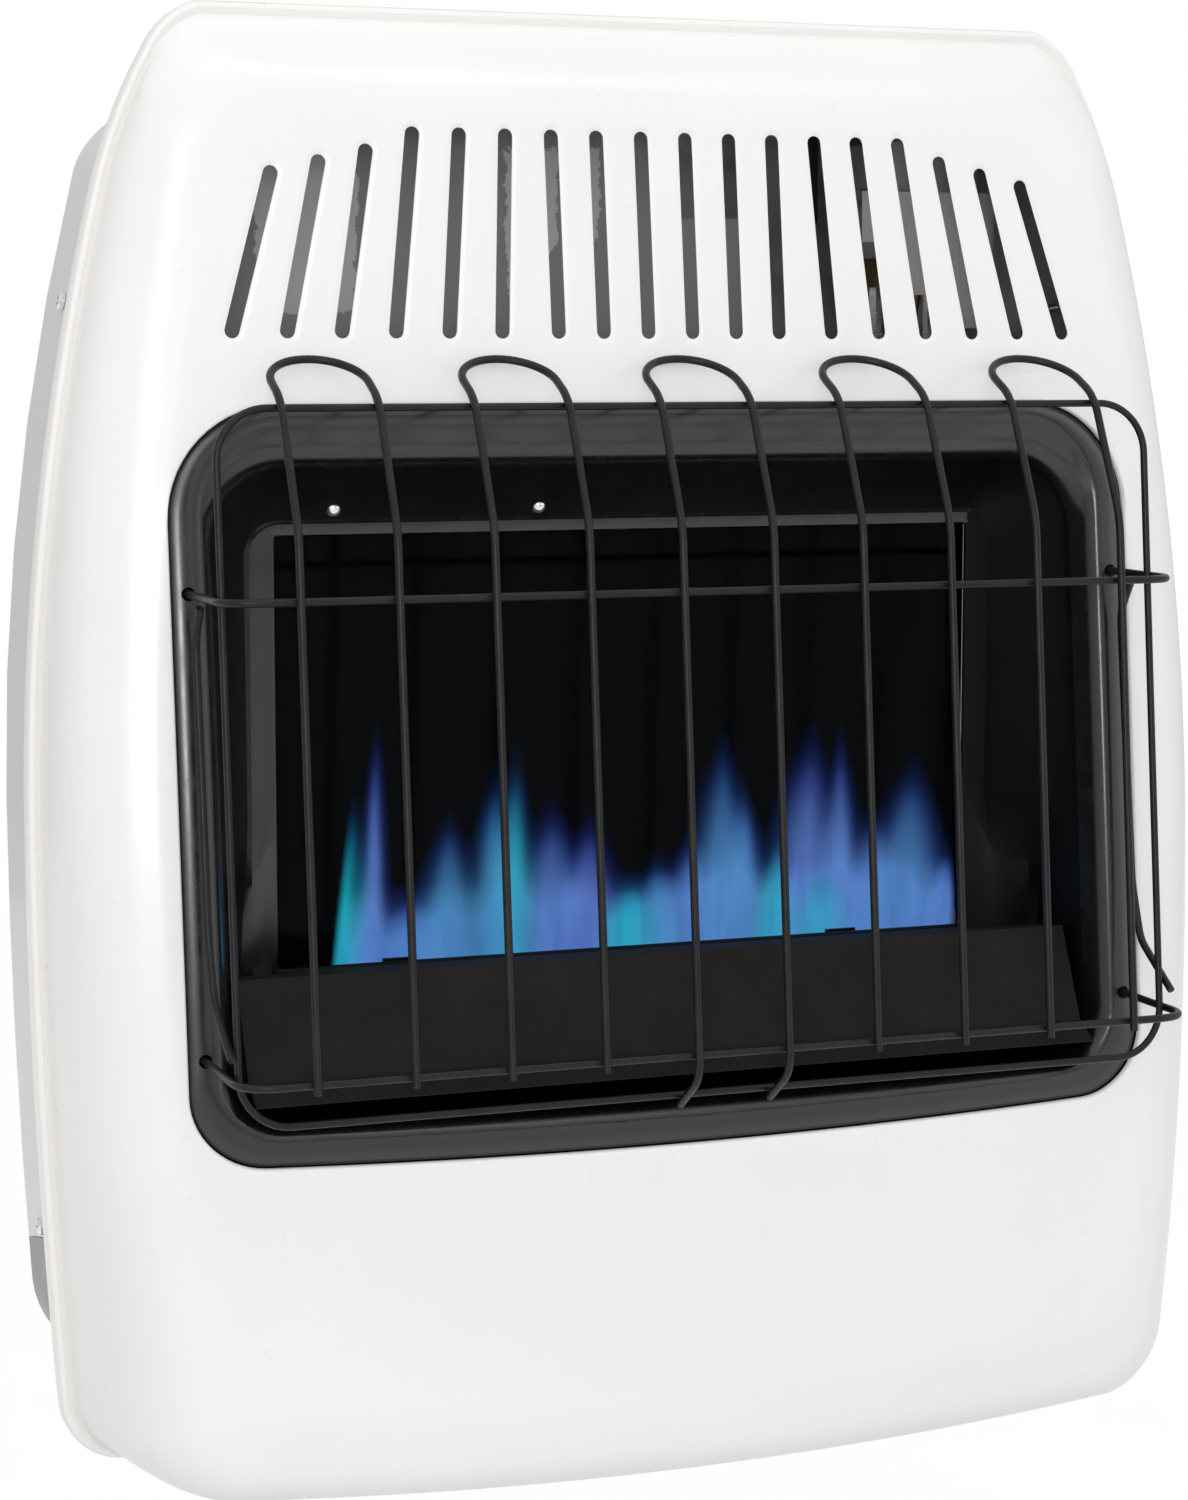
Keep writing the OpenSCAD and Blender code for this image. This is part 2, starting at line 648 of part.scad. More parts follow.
// The casing's outline, drawn in by a distance
function casing_loop(in) = let (side = casing_in + in)
    [for (p = rounded_loop(cover_w / 2 - side, casing_bottom + in, deck_z - in,
                           casing_bottom_r - in, casing_top_r - in, casing_corner_n))
        [p[0] * (half_w(p[1]) - side) / (cover_w / 2 - side), p[1]]];

module casing_ring(in, t) difference() {
    polygon(casing_loop(in));
    polygon(casing_loop(in + t));
}

// The flange that the cover's rim sits on
module rim_flange() difference() {
    in = cover_t + 2 * gap;
    polygon(barrel_loop(in, rim_bottom + in, cover_top - in, rim_bottom_r - in,
                        rim_top_r - in));
    polygon(casing_loop(sheet_t));
}

module casing_shell() {
    plate(casing_front, 0) casing_ring(0, sheet_t);
    plate(casing_front, casing_front + sheet_t) rim_flange();
}

// Puts a thing drawn along Z square on the casing's side, at a height
module on_side(z) {
    tilt = atan((half_w(z + 1) - half_w(z - 1)) / 2);
    for (s = [0, 1]) mirror([s, 0, 0])
        translate([half_w(z) - casing_in, -screw_out, z]) rotate([0, 90 + tilt, 0]) children();
}

module side_holes(d) for (z = screw_zs) on_side(z)
    translate([0, 0, -12]) cylinder(d = d, h = 24);

// The space above or below the seam, which rises towards the front
seam_space = 600;

module above_seam(drop) {
    translate([0, 0, seam_z - drop]) rotate([-seam_rise, 0, 0])
        translate([-seam_space / 2, -seam_space / 2, 0]) cube(seam_space);
}

module casing_wrapper() color([0.72, 0.72, 0.72]) difference() {
    intersection() {
        casing_shell();
        above_seam(0);
    }
    side_holes(shank_d + 0.4);
    rod_z(knob_x, -control_out, deck_z - 3, deck_z + 3, spindle_d + 4);
    rod_z(igniter_x, -control_out, deck_z - 3, deck_z + 3, igniter_d + 0.4);
}

// Tabs inside the casing's sides that the screws go into
module side_tabs(in, t, z0, z1, y) intersection() {
    plate(y[0], y[1]) casing_ring(in, t);
    block([-cover_w / 2, y[0], z0], [cover_w / 2, y[1], z1]);
}

tab_in = sheet_t + gap;
air_slot_pitch = 20;

module base_pan() color([0.25, 0.25, 0.26]) difference() {
    union() {
        difference() {
            casing_shell();
            above_seam(gap);
        }
        side_tabs(0, tab_in + sheet_t, seam_z - 12, seam_z, tab_y);
        side_tabs(tab_in, sheet_t, seam_z - 1, screw_zs[1] + 9, tab_y);
    }
    side_holes(shank_d + 2 * fit);
    rod_z(inlet_x, -inlet_out, casing_bottom - 3, casing_bottom + 3, inlet_neck_d + 0.6);
    for (k = [-7:5])
        block([k * air_slot_pitch - 4, -70, casing_bottom - 3],
              [k * air_slot_pitch + 4, -20, casing_bottom + 3]);
}

hook_x = 150;
hook_w = 24;
hook_z = 4;

module back_panel() color([0.68, 0.69, 0.7]) difference() {
    union() {
        plate(panel_front, panel_back) polygon(casing_loop(tab_in));
        side_tabs(tab_in, 1, screw_zs[0] - 9, screw_zs[0] + 9, [tab_y[0], panel_back]);
    }
    side_holes(shank_d + 2 * fit);
    for (s = [-1, 1]) {
        block([s * hook_x - hook_w / 2 - 0.8, -10, hook_z - 12],
              [s * hook_x + hook_w / 2 + 0.8, 1, hook_z + bracket_t + joint_gap]);
        rod_y(s * low_pitch / 2, low_hole_z, -10, 1, 2 * wall_hole_r);
    }
}

module wall_bracket() color([0.75, 0.76, 0.77]) difference() {
    union() {
        block([-wall_pitch / 2 - 6.5, -bracket_t, -bracket_h / 2],
              [wall_pitch / 2 + 6.5, 0, bracket_h / 2]);
        for (s = [-1, 1]) translate([s * hook_x - hook_w / 2, 0, hook_z]) {
            block([0, -5.4, 0], [hook_w, -0.5, bracket_t]);
            block([0, -5.4, 0], [hook_w, -5.4 + bracket_t, 11]);
        }
    }
    for (s = [-1, 1]) rod_y(s * wall_pitch / 2, 0, -10, 5, 2 * wall_hole_r);
}

module casing_screws() color([0.8, 0.8, 0.8]) for (z = screw_zs) on_side(z) difference() {
    union() {
        translate([0, 0, 0.25]) cylinder(d = screw_head_d, h = 1.4);
        translate([0, 0, 1.65]) cylinder(d1 = screw_head_d, d2 = screw_head_d - 2.4, h = 0.9);
        translate([0, 0, -7]) cylinder(d = shank_d, h = 7.5);
    }
    for (a = [0, 90]) rotate(a) translate([-2, -0.4, 1.6]) cube([4, 0.8, 2]);
}

// ---------------------------------------------------------------- firebox and shield

box_w = win_w + 41;
box_top = win_top + 19;
box_bottom = win_bottom - 47;
box_front = -win_out - 8.9;
box_back = -30;
vent_w = box_w - 68;

module firebox() color([0.3, 0.3, 0.3]) difference() {
    union() {
        plate(box_front, box_back) box_outline(0);
        plate(box_front, box_front + sheet_t)
            translate([-box_w / 2 - 11.5, box_bottom - 1.5])
                square([box_w + 23, box_top - box_bottom + 5.5]);
    }
    plate(box_front - 1, box_back - sheet_t) box_outline(sheet_t);
    block([-vent_w / 2, -90, box_top - 5], [vent_w / 2, -60, box_top + 5]);
    block([box_w / 2 - 5, -84, box_bottom + sheet_t], [box_w / 2 + 5, -35, box_bottom + 45]);
}

module box_outline(in) {
    translate([-box_w / 2 + in, box_bottom + in])
        square([box_w - 2 * in, box_top - box_bottom - 2 * in]);
}

// The shield's left end, the place where its top edge steps down, and its right end
shield_x = [-185, 28, 66];
shield_y = -56;
shield_back = -34;      // the back edge of its foot
shield_t = 0.8;
shield_fold = 21.5;     // height of the fold in its upper part
shield_top = 40;
shield_low = 1;         // height of its lower, right part

module heat_shield() color([0.55, 0.56, 0.57]) {
    foot = box_top + gap;
    lean = 7;
    bar(shield_x[0], shield_x[1]) polygon([
        [shield_back, foot], [shield_back, foot + shield_t],
        [shield_y + shield_t, foot + shield_t], [shield_y + shield_t, shield_fold],
        [shield_y + shield_t + lean, shield_top], [shield_y + lean, shield_top],
        [shield_y, shield_fold], [shield_y, foot]]);
    bar(shield_x[1] - 0.1, shield_x[2]) polygon([
        [shield_back, foot], [shield_back, foot + shield_t],
        [shield_y + shield_t, foot + shield_t], [shield_y + shield_t, shield_low],
        [shield_y, shield_low], [shield_y, foot]]);
    block([shield_x[2] - shield_t, shield_y - 8, foot],
          [shield_x[2], shield_y + 0.1, shield_low]);
}

// ---------------------------------------------------------------- burner

burner_x0 = -128;
burner_x1 = burner_x0 + burner_len;
mixer_x1 = box_w / 2 + 22;
mixer_d = 20;
tube_t = 1;
shutter_x = [mixer_x1 - 15, mixer_x1 - 2];
port_tilt = 18;

// Turns a thing drawn along Z to lie along the burner's axis
module on_burner(x) translate([x, -burner_out, burner_z]) rotate([0, 90, 0]) children();

module burner_solid(in) {
    on_burner(burner_x0 + in) cylinder(d = burner_d - 2 * in, h = burner_len - in);
    on_burner(burner_x1) cylinder(d1 = burner_d - 2 * in, d2 = mixer_d - 2 * in, h = 10);
    on_burner(burner_x1 + 10) cylinder(d = mixer_d - 2 * in, h = mixer_x1 - burner_x1 - 10);
}

// Air windows through the mixing tube and the shutter's sleeve
module air_windows(x0, x1) {
    block([x0, -burner_out - 20, burner_z - 4], [x1, -burner_out + 20, burner_z + 4]);
}

module burner_tube() color([0.5, 0.51, 0.53]) difference() {
    burner_solid(0);
    burner_solid(tube_t);
    on_burner(mixer_x1 - 2) cylinder(d = mixer_d - 2 * tube_t, h = 4);
    for (k = [1:port_count], s = [-1, 1])
        translate([burner_x0 + k * burner_len / (port_count + 1), -burner_out, burner_z])
            rotate([s * port_tilt, 0, 0]) cylinder(d = port_d, h = burner_d);
    air_windows(shutter_x[0] + 2, shutter_x[1] - 2);
}

bracket_xs = [-100, 85];

module burner_brackets() color([0.6, 0.61, 0.62]) for (x = bracket_xs) difference() {
    foot = box_bottom + sheet_t + gap;
    union() {
        block([x, -burner_out - 17, foot], [x + sheet_t, -burner_out + 17, burner_z + 17]);
        block([x, -burner_out - 17, foot], [x + 12, -burner_out + 17, foot + sheet_t]);
    }
    on_burner(x - 5) cylinder(d = burner_d + 2 * fit, h = 10);
}

module air_shutter() color([0.7, 0.7, 0.68]) difference() {
    on_burner(shutter_x[0]) cylinder(d = mixer_d + 2.4, h = shutter_x[1] - shutter_x[0]);
    on_burner(shutter_x[0] - 1)
        cylinder(d = mixer_d + 2 * fit, h = shutter_x[1] - shutter_x[0] + 2);
    air_windows(shutter_x[0] + 4, shutter_x[1] - 4);
}

burner_pipe_x = mixer_x1 + 10.5;
injector_d = 16;
injector_top = burner_z + injector_d / 2 * cos(30) + joint_gap;

module injector() color([0.78, 0.62, 0.3]) difference() {
    union() {
        on_burner(mixer_x1 - 8) cylinder(d1 = 5, d2 = 8, h = 8.3);
        on_burner(mixer_x1 + 0.2) cylinder(d = mixer_d, h = 2);
        on_burner(mixer_x1 + 2) rotate(30) cylinder(d = injector_d, h = 17, $fn = 6);
    }
    on_burner(mixer_x1 - 9) cylinder(d = 1.4, h = 12);
    on_burner(mixer_x1 - 4) cylinder(d = 4, h = 16);
}

// The pilot group in front of the burner, just below the window: spark electrode, pilot
// burner and thermocouple, from right to left
pilot_out = 73.5;
spark_x = 149;
pilot_x = 135;
couple_x = 121;
pilot_plate_z = burner_z - 1;
pipe_lane = box_w / 2 + 7;   // where the thin pipes and the lead run down, beside the firebox
pilot_d = 5.6;
couple_d = 4;
spark_d = 5.4;

module pilot_bracket() color([0.66, 0.67, 0.68]) difference() {
    foot = box_bottom + sheet_t + gap;
    left = couple_x - 9;
    y0 = -pilot_out - 4.5;
    y1 = -pilot_out + 4.5;
    union() {
        block([left, y0, pilot_plate_z], [spark_x + 6, y1, pilot_plate_z + 1]);
        block([left, y0, foot], [left + 1, y1, pilot_plate_z + 1]);
        block([left - 11, y0, foot], [left + 1, y1, foot + 1]);
    }
    rod_z(spark_x, -pilot_out, pilot_plate_z - 2, pilot_plate_z + 3, spark_d + 2 * fit);
    rod_z(pilot_x, -pilot_out, pilot_plate_z - 2, pilot_plate_z + 3, pilot_d + 2 * fit);
    rod_z(couple_x, -pilot_out, pilot_plate_z - 2, pilot_plate_z + 3, couple_d + 2 * fit);
}

module pilot_burner() color([0.75, 0.62, 0.35]) difference() {
    union() {
        rod_z(pilot_x, -pilot_out, burner_z - 12, burner_z + 14, pilot_d);
        rod_z(pilot_x, -pilot_out, burner_z + 10, burner_z + 15, 7.6);
    }
    rod_z(pilot_x, -pilot_out, burner_z + 7, burner_z + 16, 4.4);
    block([pilot_x - 8, -pilot_out - 1, burner_z + 11.5],
          [pilot_x + 8, -pilot_out + 1, burner_z + 14]);
}

module thermocouple() color([0.75, 0.5, 0.35]) {
    top_x = knob_x + 11;
    low = burner_z - 18.5;
    path = [[couple_x, -pilot_out, burner_z - 10], [couple_x, -pilot_out, low],
            [pipe_lane, -46, low], [pipe_lane, -28, low], [pipe_lane, -28, -66],
            [top_x, -28, -66], [top_x, -28, -47], [top_x, -33, -34],
            [top_x, -33, valve_lo[2] - joint_gap]];
    rod_z(couple_x, -pilot_out, burner_z - 11, burner_z + 16, couple_d);
    tube_along(bent(path, 6, 3), 3, 6, false, [1, 0, 0]);
}

module spark_electrode() color([0.92, 0.9, 0.86]) {
    rod_z(spark_x, -pilot_out, burner_z - 8, burner_z + 8, spark_d);
    rod_z(spark_x, -pilot_out, burner_z + 7, burner_z + 15, 1.6);
    block([spark_x - 7, -pilot_out - 0.8, burner_z + 13.4],
          [spark_x + 0.5, -pilot_out + 0.8, burner_z + 15]);
}

// ---------------------------------------------------------------- valve and knob

igniter_d = 16;
valve_lo = [knob_x - 21, -70, -15];
valve_hi = [knob_x + 21, -30, 34];
rotor_d = 18;
rotor_z = [10.3, 32];
bonnet_t = 2;
flat_in = 1.2;          // depth of the flat on the valve's spindle
dial_d = 44;
dial_t = 1;
knob_z = deck_z + dial_t + joint_gap + knob_travel + 0.6;
knob_depth = 16;        // how far the spindle goes into the knob

// A rod with a flat along one side, standing on the knob's axis
module d_rod(z0, z1, grow) intersection() {
    rod_z(knob_x, -control_out, z0, z1, spindle_d + 2 * grow);
    block([knob_x - 20, -control_out - 20, z0],
          [knob_x + spindle_d / 2 - flat_in + grow, -control_out + 20, z1]);
}

module valve_body() color([0.72, 0.71, 0.66]) difference() {
    union() {
        block(valve_lo, valve_hi);
        rod_x(-50, 4, knob_x - 27, knob_x - 20, 22);
    }
    rod_z(knob_x, -control_out, rotor_z[0] - gap, valve_hi[2] + 1, rotor_d);
    rod_x(-50, 4, knob_x - 28, knob_x - 24, 14);
}

module valve_bonnet() color([0.6, 0.6, 0.6]) difference() {
    block([valve_lo[0] + 4, valve_lo[1] + 4, valve_hi[2] + 0.1],
          [valve_hi[0] - 4, valve_hi[1] - 4, valve_hi[2] + 0.1 + bonnet_t]);
    rod_z(knob_x, -control_out, valve_hi[2] - 1, valve_hi[2] + 5, spindle_d + 1);
}

module valve_rotor() color([0.8, 0.65, 0.3]) difference() {
    rod_z(knob_x, -control_out, rotor_z[0], rotor_z[1], rotor_d - 2 * fit);
    d_rod(rotor_z[0] + 4, rotor_z[1] + 1, fit);
}

module valve_spindle() color([0.8, 0.65, 0.3])
    d_rod(rotor_z[0] + 4 + knob_travel + 1, knob_z + knob_depth, 0);

module control_knob() color([0.08, 0.08, 0.08]) difference() {
    union() {
        rod_z(knob_x, -control_out, knob_z, knob_z + 5, knob_d);
        rod_z(knob_x, -control_out, knob_z, knob_z + knob_h, knob_d - 6);
        block([knob_x - 1.2, -control_out - knob_d / 2 + 0.6, knob_z + 4],
              [knob_x + 1.2, -control_out - 6, knob_z + knob_h]);
    }
    for (k = [0:11]) if (k != 9) translate([knob_x, -control_out, knob_z + 7]) rotate(30 * k)
        translate([knob_d / 2 - 1.6, 0, 0]) cylinder(d = 5, h = knob_h);
    d_rod(knob_z - 1, knob_z + knob_depth + 0.2, fit);
}

module dial_plate() color([0.85, 0.85, 0.85]) difference() {
    rod_z(knob_x, -control_out, deck_z + joint_gap, deck_z + joint_gap + dial_t, dial_d);
    rod_z(knob_x, -control_out, deck_z - 1, deck_z + 3, spindle_d + 4.4);
}

plate_t = 0.8;
bracket_y = -84;
bracket_x = [105, valve_hi[0] + gap + plate_t];
bracket_z = [-45, 12.2];

// A front plate whose lower left is cut away in two steps, with a foot and a side wall
module control_bracket() color([0.6, 0.61, 0.62]) {
    left = bracket_x[0];
    right = bracket_x[1];
    plate(bracket_y, bracket_y + plate_t) polygon([
        [right, bracket_z[0]], [right, bracket_z[1]], [left, bracket_z[1]], [left, -9],
        [left + 13, -9], [left + 13, -31], [left + 41, -31], [left + 41, bracket_z[0]]]);
    block([left + 41, bracket_y, bracket_z[0]], [right, bracket_y + 10, bracket_z[0] + plate_t]);
    block([right - plate_t, bracket_y, bracket_z[0]], [right, panel_front - gap, bracket_z[1]]);
}

module label_plate() color([0.78, 0.78, 0.76])
    block([bracket_x[0] + 14.5, bracket_y - 0.5, -29], [bracket_x[1] - 2.5, bracket_y - 0.1, 10]);

// ---------------------------------------------------------------- igniter

flange_d = 21;
button_z = 38;
igniter_bore_z = button_z - button_travel - 2;

module igniter_body() color([0.12, 0.12, 0.12]) difference() {
    union() {
        rod_z(igniter_x, -control_out, 0, deck_z + joint_gap, igniter_d);
        rod_z(igniter_x, -control_out, deck_z + joint_gap, deck_z + joint_gap + 2, flange_d);
    }
    rod_z(igniter_x, -control_out, igniter_bore_z, deck_z + 5, button_d + 2 * fit);
}

module igniter_nut() color([0.7, 0.7, 0.7]) difference() {
    rod_z(igniter_x, -control_out, deck_z - sheet_t - 5.2, deck_z - sheet_t - 0.2, 25, $fn = 6);
    rod_z(igniter_x, -control_out, deck_z - 10, deck_z, igniter_d + 0.3);
}

module igniter_button() color([0.75, 0.1, 0.08]) {
    rod_z(igniter_x, -control_out, button_z, deck_z + 9, button_d);
    translate([igniter_x, -control_out, deck_z + 9])
        cylinder(d1 = button_d, d2 = button_d - 2, h = 1);
}

lead_low = burner_z - 14;
lead_path = [[igniter_x, -control_out, -0.2], [igniter_x, -control_out, -98],
             [pipe_lane, -80.5, -98], [pipe_lane, -80.5, lead_low],
             [spark_x, -80.5, lead_low], [spark_x, -pilot_out, lead_low],
             [spark_x, -pilot_out, burner_z - 8.2]];

module ignition_lead() color([0.85, 0.35, 0.1])
    tube_along(bent(lead_path, 3, 2), 4.4, 8, false, [0, 1, 0]);

// ---------------------------------------------------------------- gas pipes

inlet_x = 170;
inlet_out = 45;
inlet_neck_d = 20;
inlet_face = casing_bottom - 15;
regulator_z = [-440, -404];
supply_d = 9.5;
burner_pipe_d = 8;
pilot_pipe_d = 4;
valve_foot = valve_lo[2] - joint_gap;
supply_out = 36;
supply_lane = box_w / 2 + 18;
supply_top = [knob_x - 11, -supply_out, valve_foot];
burner_top = [knob_x + 12, -burner_out, valve_foot];
pilot_top = [knob_x + 1, -64, valve_foot];

module regulator() color([0.66, 0.66, 0.64]) {
    rod_z(inlet_x, -inlet_out, regulator_z[0], regulator_z[1], 26);
    rod_z(inlet_x, -inlet_out, regulator_z[0] + 6, regulator_z[1] - 6, 50);
    rod_z(inlet_x, -inlet_out, regulator_z[0] + 13, regulator_z[0] + 19, 56);
    rod_z(inlet_x - 16, -inlet_out, regulator_z[1] - 7, regulator_z[1] - 2, 8);
}

module inlet_fitting() color([0.78, 0.62, 0.3]) difference() {
    union() {
        rod_z(inlet_x, -inlet_out, inlet_face, casing_bottom - 0.3, 30, $fn = 6);
        rod_z(inlet_x, -inlet_out, inlet_face, regulator_z[0] - joint_gap, inlet_neck_d);
    }
    rod_z(inlet_x, -inlet_out, inlet_face - 1, inlet_face + inlet_len, 2 * inlet_r);
    rod_z(inlet_x, -inlet_out, inlet_face, regulator_z[0] + 1, 8);
}

module supply_pipe() color([0.75, 0.76, 0.78])
    tube_along(bent([supply_top, [supply_top[0], -supply_out, -55],
                     [supply_lane, -supply_out, -55],
                     [supply_lane, -supply_out, box_bottom - 22],
                     [inlet_x, -inlet_out, regulator_z[1] + 18],
                     [inlet_x, -inlet_out, regulator_z[1] + joint_gap]], 7, 3),
               supply_d, 10, false, [0, 1, 0]);

module burner_pipe() color([0.75, 0.76, 0.78])
    tube_along(bent([burner_top, [burner_top[0], -burner_out, -70],
                     [burner_pipe_x, -burner_out, -70],
                     [burner_pipe_x, -burner_out, injector_top]], 10, 4),
               burner_pipe_d, 10, false, [0, 1, 0]);

module pilot_pipe() color([0.8, 0.6, 0.4])
    tube_along(bent([pilot_top, [pilot_top[0], -64, -88], [pipe_lane, -72, -88],
                     [pipe_lane, -72, burner_z - 19], [pilot_x, -pilot_out, burner_z - 19],
                     [pilot_x, -pilot_out, burner_z - 12.2]], 5, 3),
               pilot_pipe_d, 8, false, [0, 1, 0]);

module nut(at, d, across, h) difference() {
    translate(at) cylinder(d = across, h = h, $fn = 6);
    translate([at[0], at[1], at[2] - 1]) cylinder(d = d + 2 * fit, h = h + 2);
}

module pipe_nuts() color([0.78, 0.62, 0.3]) {
    nut(supply_top - [0, 0, 12], supply_d, 18, 11.8);
    nut(burner_top - [0, 0, 12], burner_pipe_d, 14, 11.8);
    nut(pilot_top - [0, 0, 10], pilot_pipe_d, 11, 9.8);
    nut([inlet_x, -inlet_out, regulator_z[1] + 0.3], supply_d, 18, 8);
    nut([burner_pipe_x, -burner_out, injector_top], burner_pipe_d, 14, 10);
}

front_cover();
window_surround();
lower_panel();
window_glass();
glass_gasket();
glass_clips();
clip_screws();
guard_ring();
guard_bars();
guard_upper_wire();
guard_lower_wire();
guard_side_braces();
casing_wrapper();
base_pan();
back_panel();
wall_bracket();
casing_screws();
firebox();
heat_shield();
burner_tube();
burner_brackets();
air_shutter();
injector();
pilot_bracket();
pilot_burner();
thermocouple();
spark_electrode();
valve_body();
valve_bonnet();
valve_rotor();
valve_spindle();
control_knob();
dial_plate();
control_bracket();
label_plate();
igniter_body();
igniter_nut();
igniter_button();
ignition_lead();
regulator();
inlet_fitting();
supply_pipe();
burner_pipe();
pilot_pipe();
pipe_nuts();
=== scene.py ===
import json
import math

import bmesh
import bpy
from mathutils import Matrix, Vector
from mathutils.geometry import delaunay_2d_cdt


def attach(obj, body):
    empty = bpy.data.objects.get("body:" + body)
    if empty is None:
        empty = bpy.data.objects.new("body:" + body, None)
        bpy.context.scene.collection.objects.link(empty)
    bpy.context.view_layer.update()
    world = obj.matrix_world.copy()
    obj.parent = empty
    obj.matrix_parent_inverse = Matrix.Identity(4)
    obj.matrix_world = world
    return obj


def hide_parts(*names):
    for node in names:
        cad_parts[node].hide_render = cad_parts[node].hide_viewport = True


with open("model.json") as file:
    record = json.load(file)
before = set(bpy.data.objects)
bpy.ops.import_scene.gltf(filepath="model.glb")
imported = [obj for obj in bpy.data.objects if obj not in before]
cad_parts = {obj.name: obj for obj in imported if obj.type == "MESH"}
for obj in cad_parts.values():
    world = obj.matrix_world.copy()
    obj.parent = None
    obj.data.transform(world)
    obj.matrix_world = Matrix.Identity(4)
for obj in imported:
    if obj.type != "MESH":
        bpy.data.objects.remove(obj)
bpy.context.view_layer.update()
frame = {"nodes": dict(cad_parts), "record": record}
BODY = "heater"
MM = 0.001

# ------------------------------------------------------------------ sizes, in mm
# The same values as the part's source
COVER_W, COVER_H, COVER_TOP, WIDEST_Z = 508.6, 582.2, 80.4, -240.0
SHOULDER_R, SHOULDER_Z, SHOULDER_IN_R = 1030.0, 10.0, 202.0
LOWER_SIDE_R, LOWER_FACE_R, BOTTOM_BOW_R, RIM_BOW_R = 3100.0, 1560.0, 2900.0, 9500.0
RIM_TOP_R, RIM_BOTTOM_R, FACE_TOP_R, FACE_BOTTOM_R = 15.0, 24.0, 25.0, 3.0
RIM_OUT, RIM_RETURN = 90.0, 9.0
FACE_OUT, FACE_LEAN, FACE_SIDE_R, FACE_CROWN_R = 130.0, 0.115, 11500.0, 3185.0
COVER_T, RIM_BOTTOM = 1.0, COVER_TOP - COVER_H
SLOT_W, SLOT_Z, SLOT_LEN, SLOT_PITCH = 5.8, -50.0, 82.0, 19.0
FAN_FOOT, FAN_HEAD, FAN_GAP = 21.6, 19.0, 23.4
OPEN_W, OPEN_TOP, OPEN_H, LIP_IN = 414.0, -75.0, 296.6, 3.0
OPEN_TOP_R, OPEN_BOTTOM_R, OPEN_BOW_R = 45.0, 30.0, 4700.0
OPEN_BOTTOM = OPEN_TOP - OPEN_H
WIN_W, WIN_TOP, WIN_H, WIN_OUT, SURROUND_T = 307.0, -128.0, 175.0, 86.5, 0.8
WIN_BOTTOM = WIN_TOP - WIN_H
WIRE_D, BAR_PITCH, RING_W, RING_TOP, RING_H, RING_R = 3.2, 38.1, 392.0, -76.0, 268.0, 20.0
RING_OUT, RING_LEAN, BAR_OUT, BAR_FOOT_Z, BAR_LEAN = 162.5, 0.0953, 208.4, -328.5, 0.0942
UPPER_WIRE_Z, LOWER_WIRE_Z, LOOP_RUN, LOOP_RISE = -147.0, -325.1, 33.3, 26.6
DECK_Z, KNOB_X, CONTROL_OUT, DIAL_T = 45.0, 145.0, 48.0, 1.0
GAP, JOINT_GAP = 0.3, 0.15
# The distance between the middles of welded wires, and the guard's legs' place in x
WELD = WIRE_D + JOINT_GAP
LEG_X = RING_W / 2 + WELD + 0.1


# ------------------------------------------------------------------ the cover's shape
def half_w(z, share):
    """Half the cover's width at a height, at a share of the way from rim to face."""
    below = share / LOWER_FACE_R + (1 - share) / LOWER_SIDE_R
    curve = 1 / SHOULDER_R if z > WIDEST_Z else below
    return (COVER_W / 2 - (z - WIDEST_Z) ** 2 * curve / 2
            - max(z - SHOULDER_Z, 0) ** 2 / (2 * SHOULDER_IN_R))


def bow(x, z, zb, share):
    """How far the bow of the cover's bottom edge lifts a point."""
    f = min(share * 4, 1)
    curve = f / BOTTOM_BOW_R + (1 - f) / RIM_BOW_R
    return x * x * curve / 2 * (max(WIDEST_Z - z, 0) / (WIDEST_Z - zb)) ** 2


def face_y(x, z):
    """The front of the leaning, crowned face."""
    return (-FACE_OUT + FACE_LEAN * (z - SLOT_Z) + (z - SLOT_Z) ** 2 / (2 * FACE_SIDE_R)
            + x * x / (2 * FACE_CROWN_R))


def arc(cx, cz, r, a0, a1, n):
    return [(cx + r * math.cos(math.radians(a0 + (a1 - a0) * k / n)),
             cz + r * math.sin(math.radians(a0 + (a1 - a0) * k / n))) for k in range(n + 1)]


def line(p, q, n):
    """The points between p and q, without them."""
    return [tuple(a + (b - a) * k / n for a, b in zip(p, q)) for k in range(1, n)]


CORNER_N, WIDTH_N, HEIGHT_N = 14, 40, 44


def rounded_loop(hw, zb, zt, rb, rt):
    """A rectangle with rounded corners, as x and z, from its half width, bottom and top and
    the radii there. All loops have the same number of points."""
    return (arc(hw - rb, zb + rb, rb, -90, 0, CORNER_N)
            + line((hw, zb + rb), (hw, zt - rt), HEIGHT_N)
            + arc(hw - rt, zt - rt, rt, 0, 90, CORNER_N)
            + line((hw - rt, zt), (rt - hw, zt), WIDTH_N)
            + arc(rt - hw, zt - rt, rt, 90, 180, CORNER_N)
            + line((-hw, zt - rt), (-hw, zb + rb), HEIGHT_N)
            + arc(rb - hw, zb + rb, rb, 180, 270, CORNER_N)
            + line((rb - hw, zb), (hw - rb, zb), WIDTH_N))


def barrel_loop(side, zb, zt, rb, rt, share):
    """The same, with the cover's bulging sides and bowed bottom."""
    return [(x * (half_w(z, share) - side) / (COVER_W / 2 - side), z + bow(x, z, zb, share))
            for x, z in rounded_loop(COVER_W / 2 - side, zb, zt, rb, rt)]


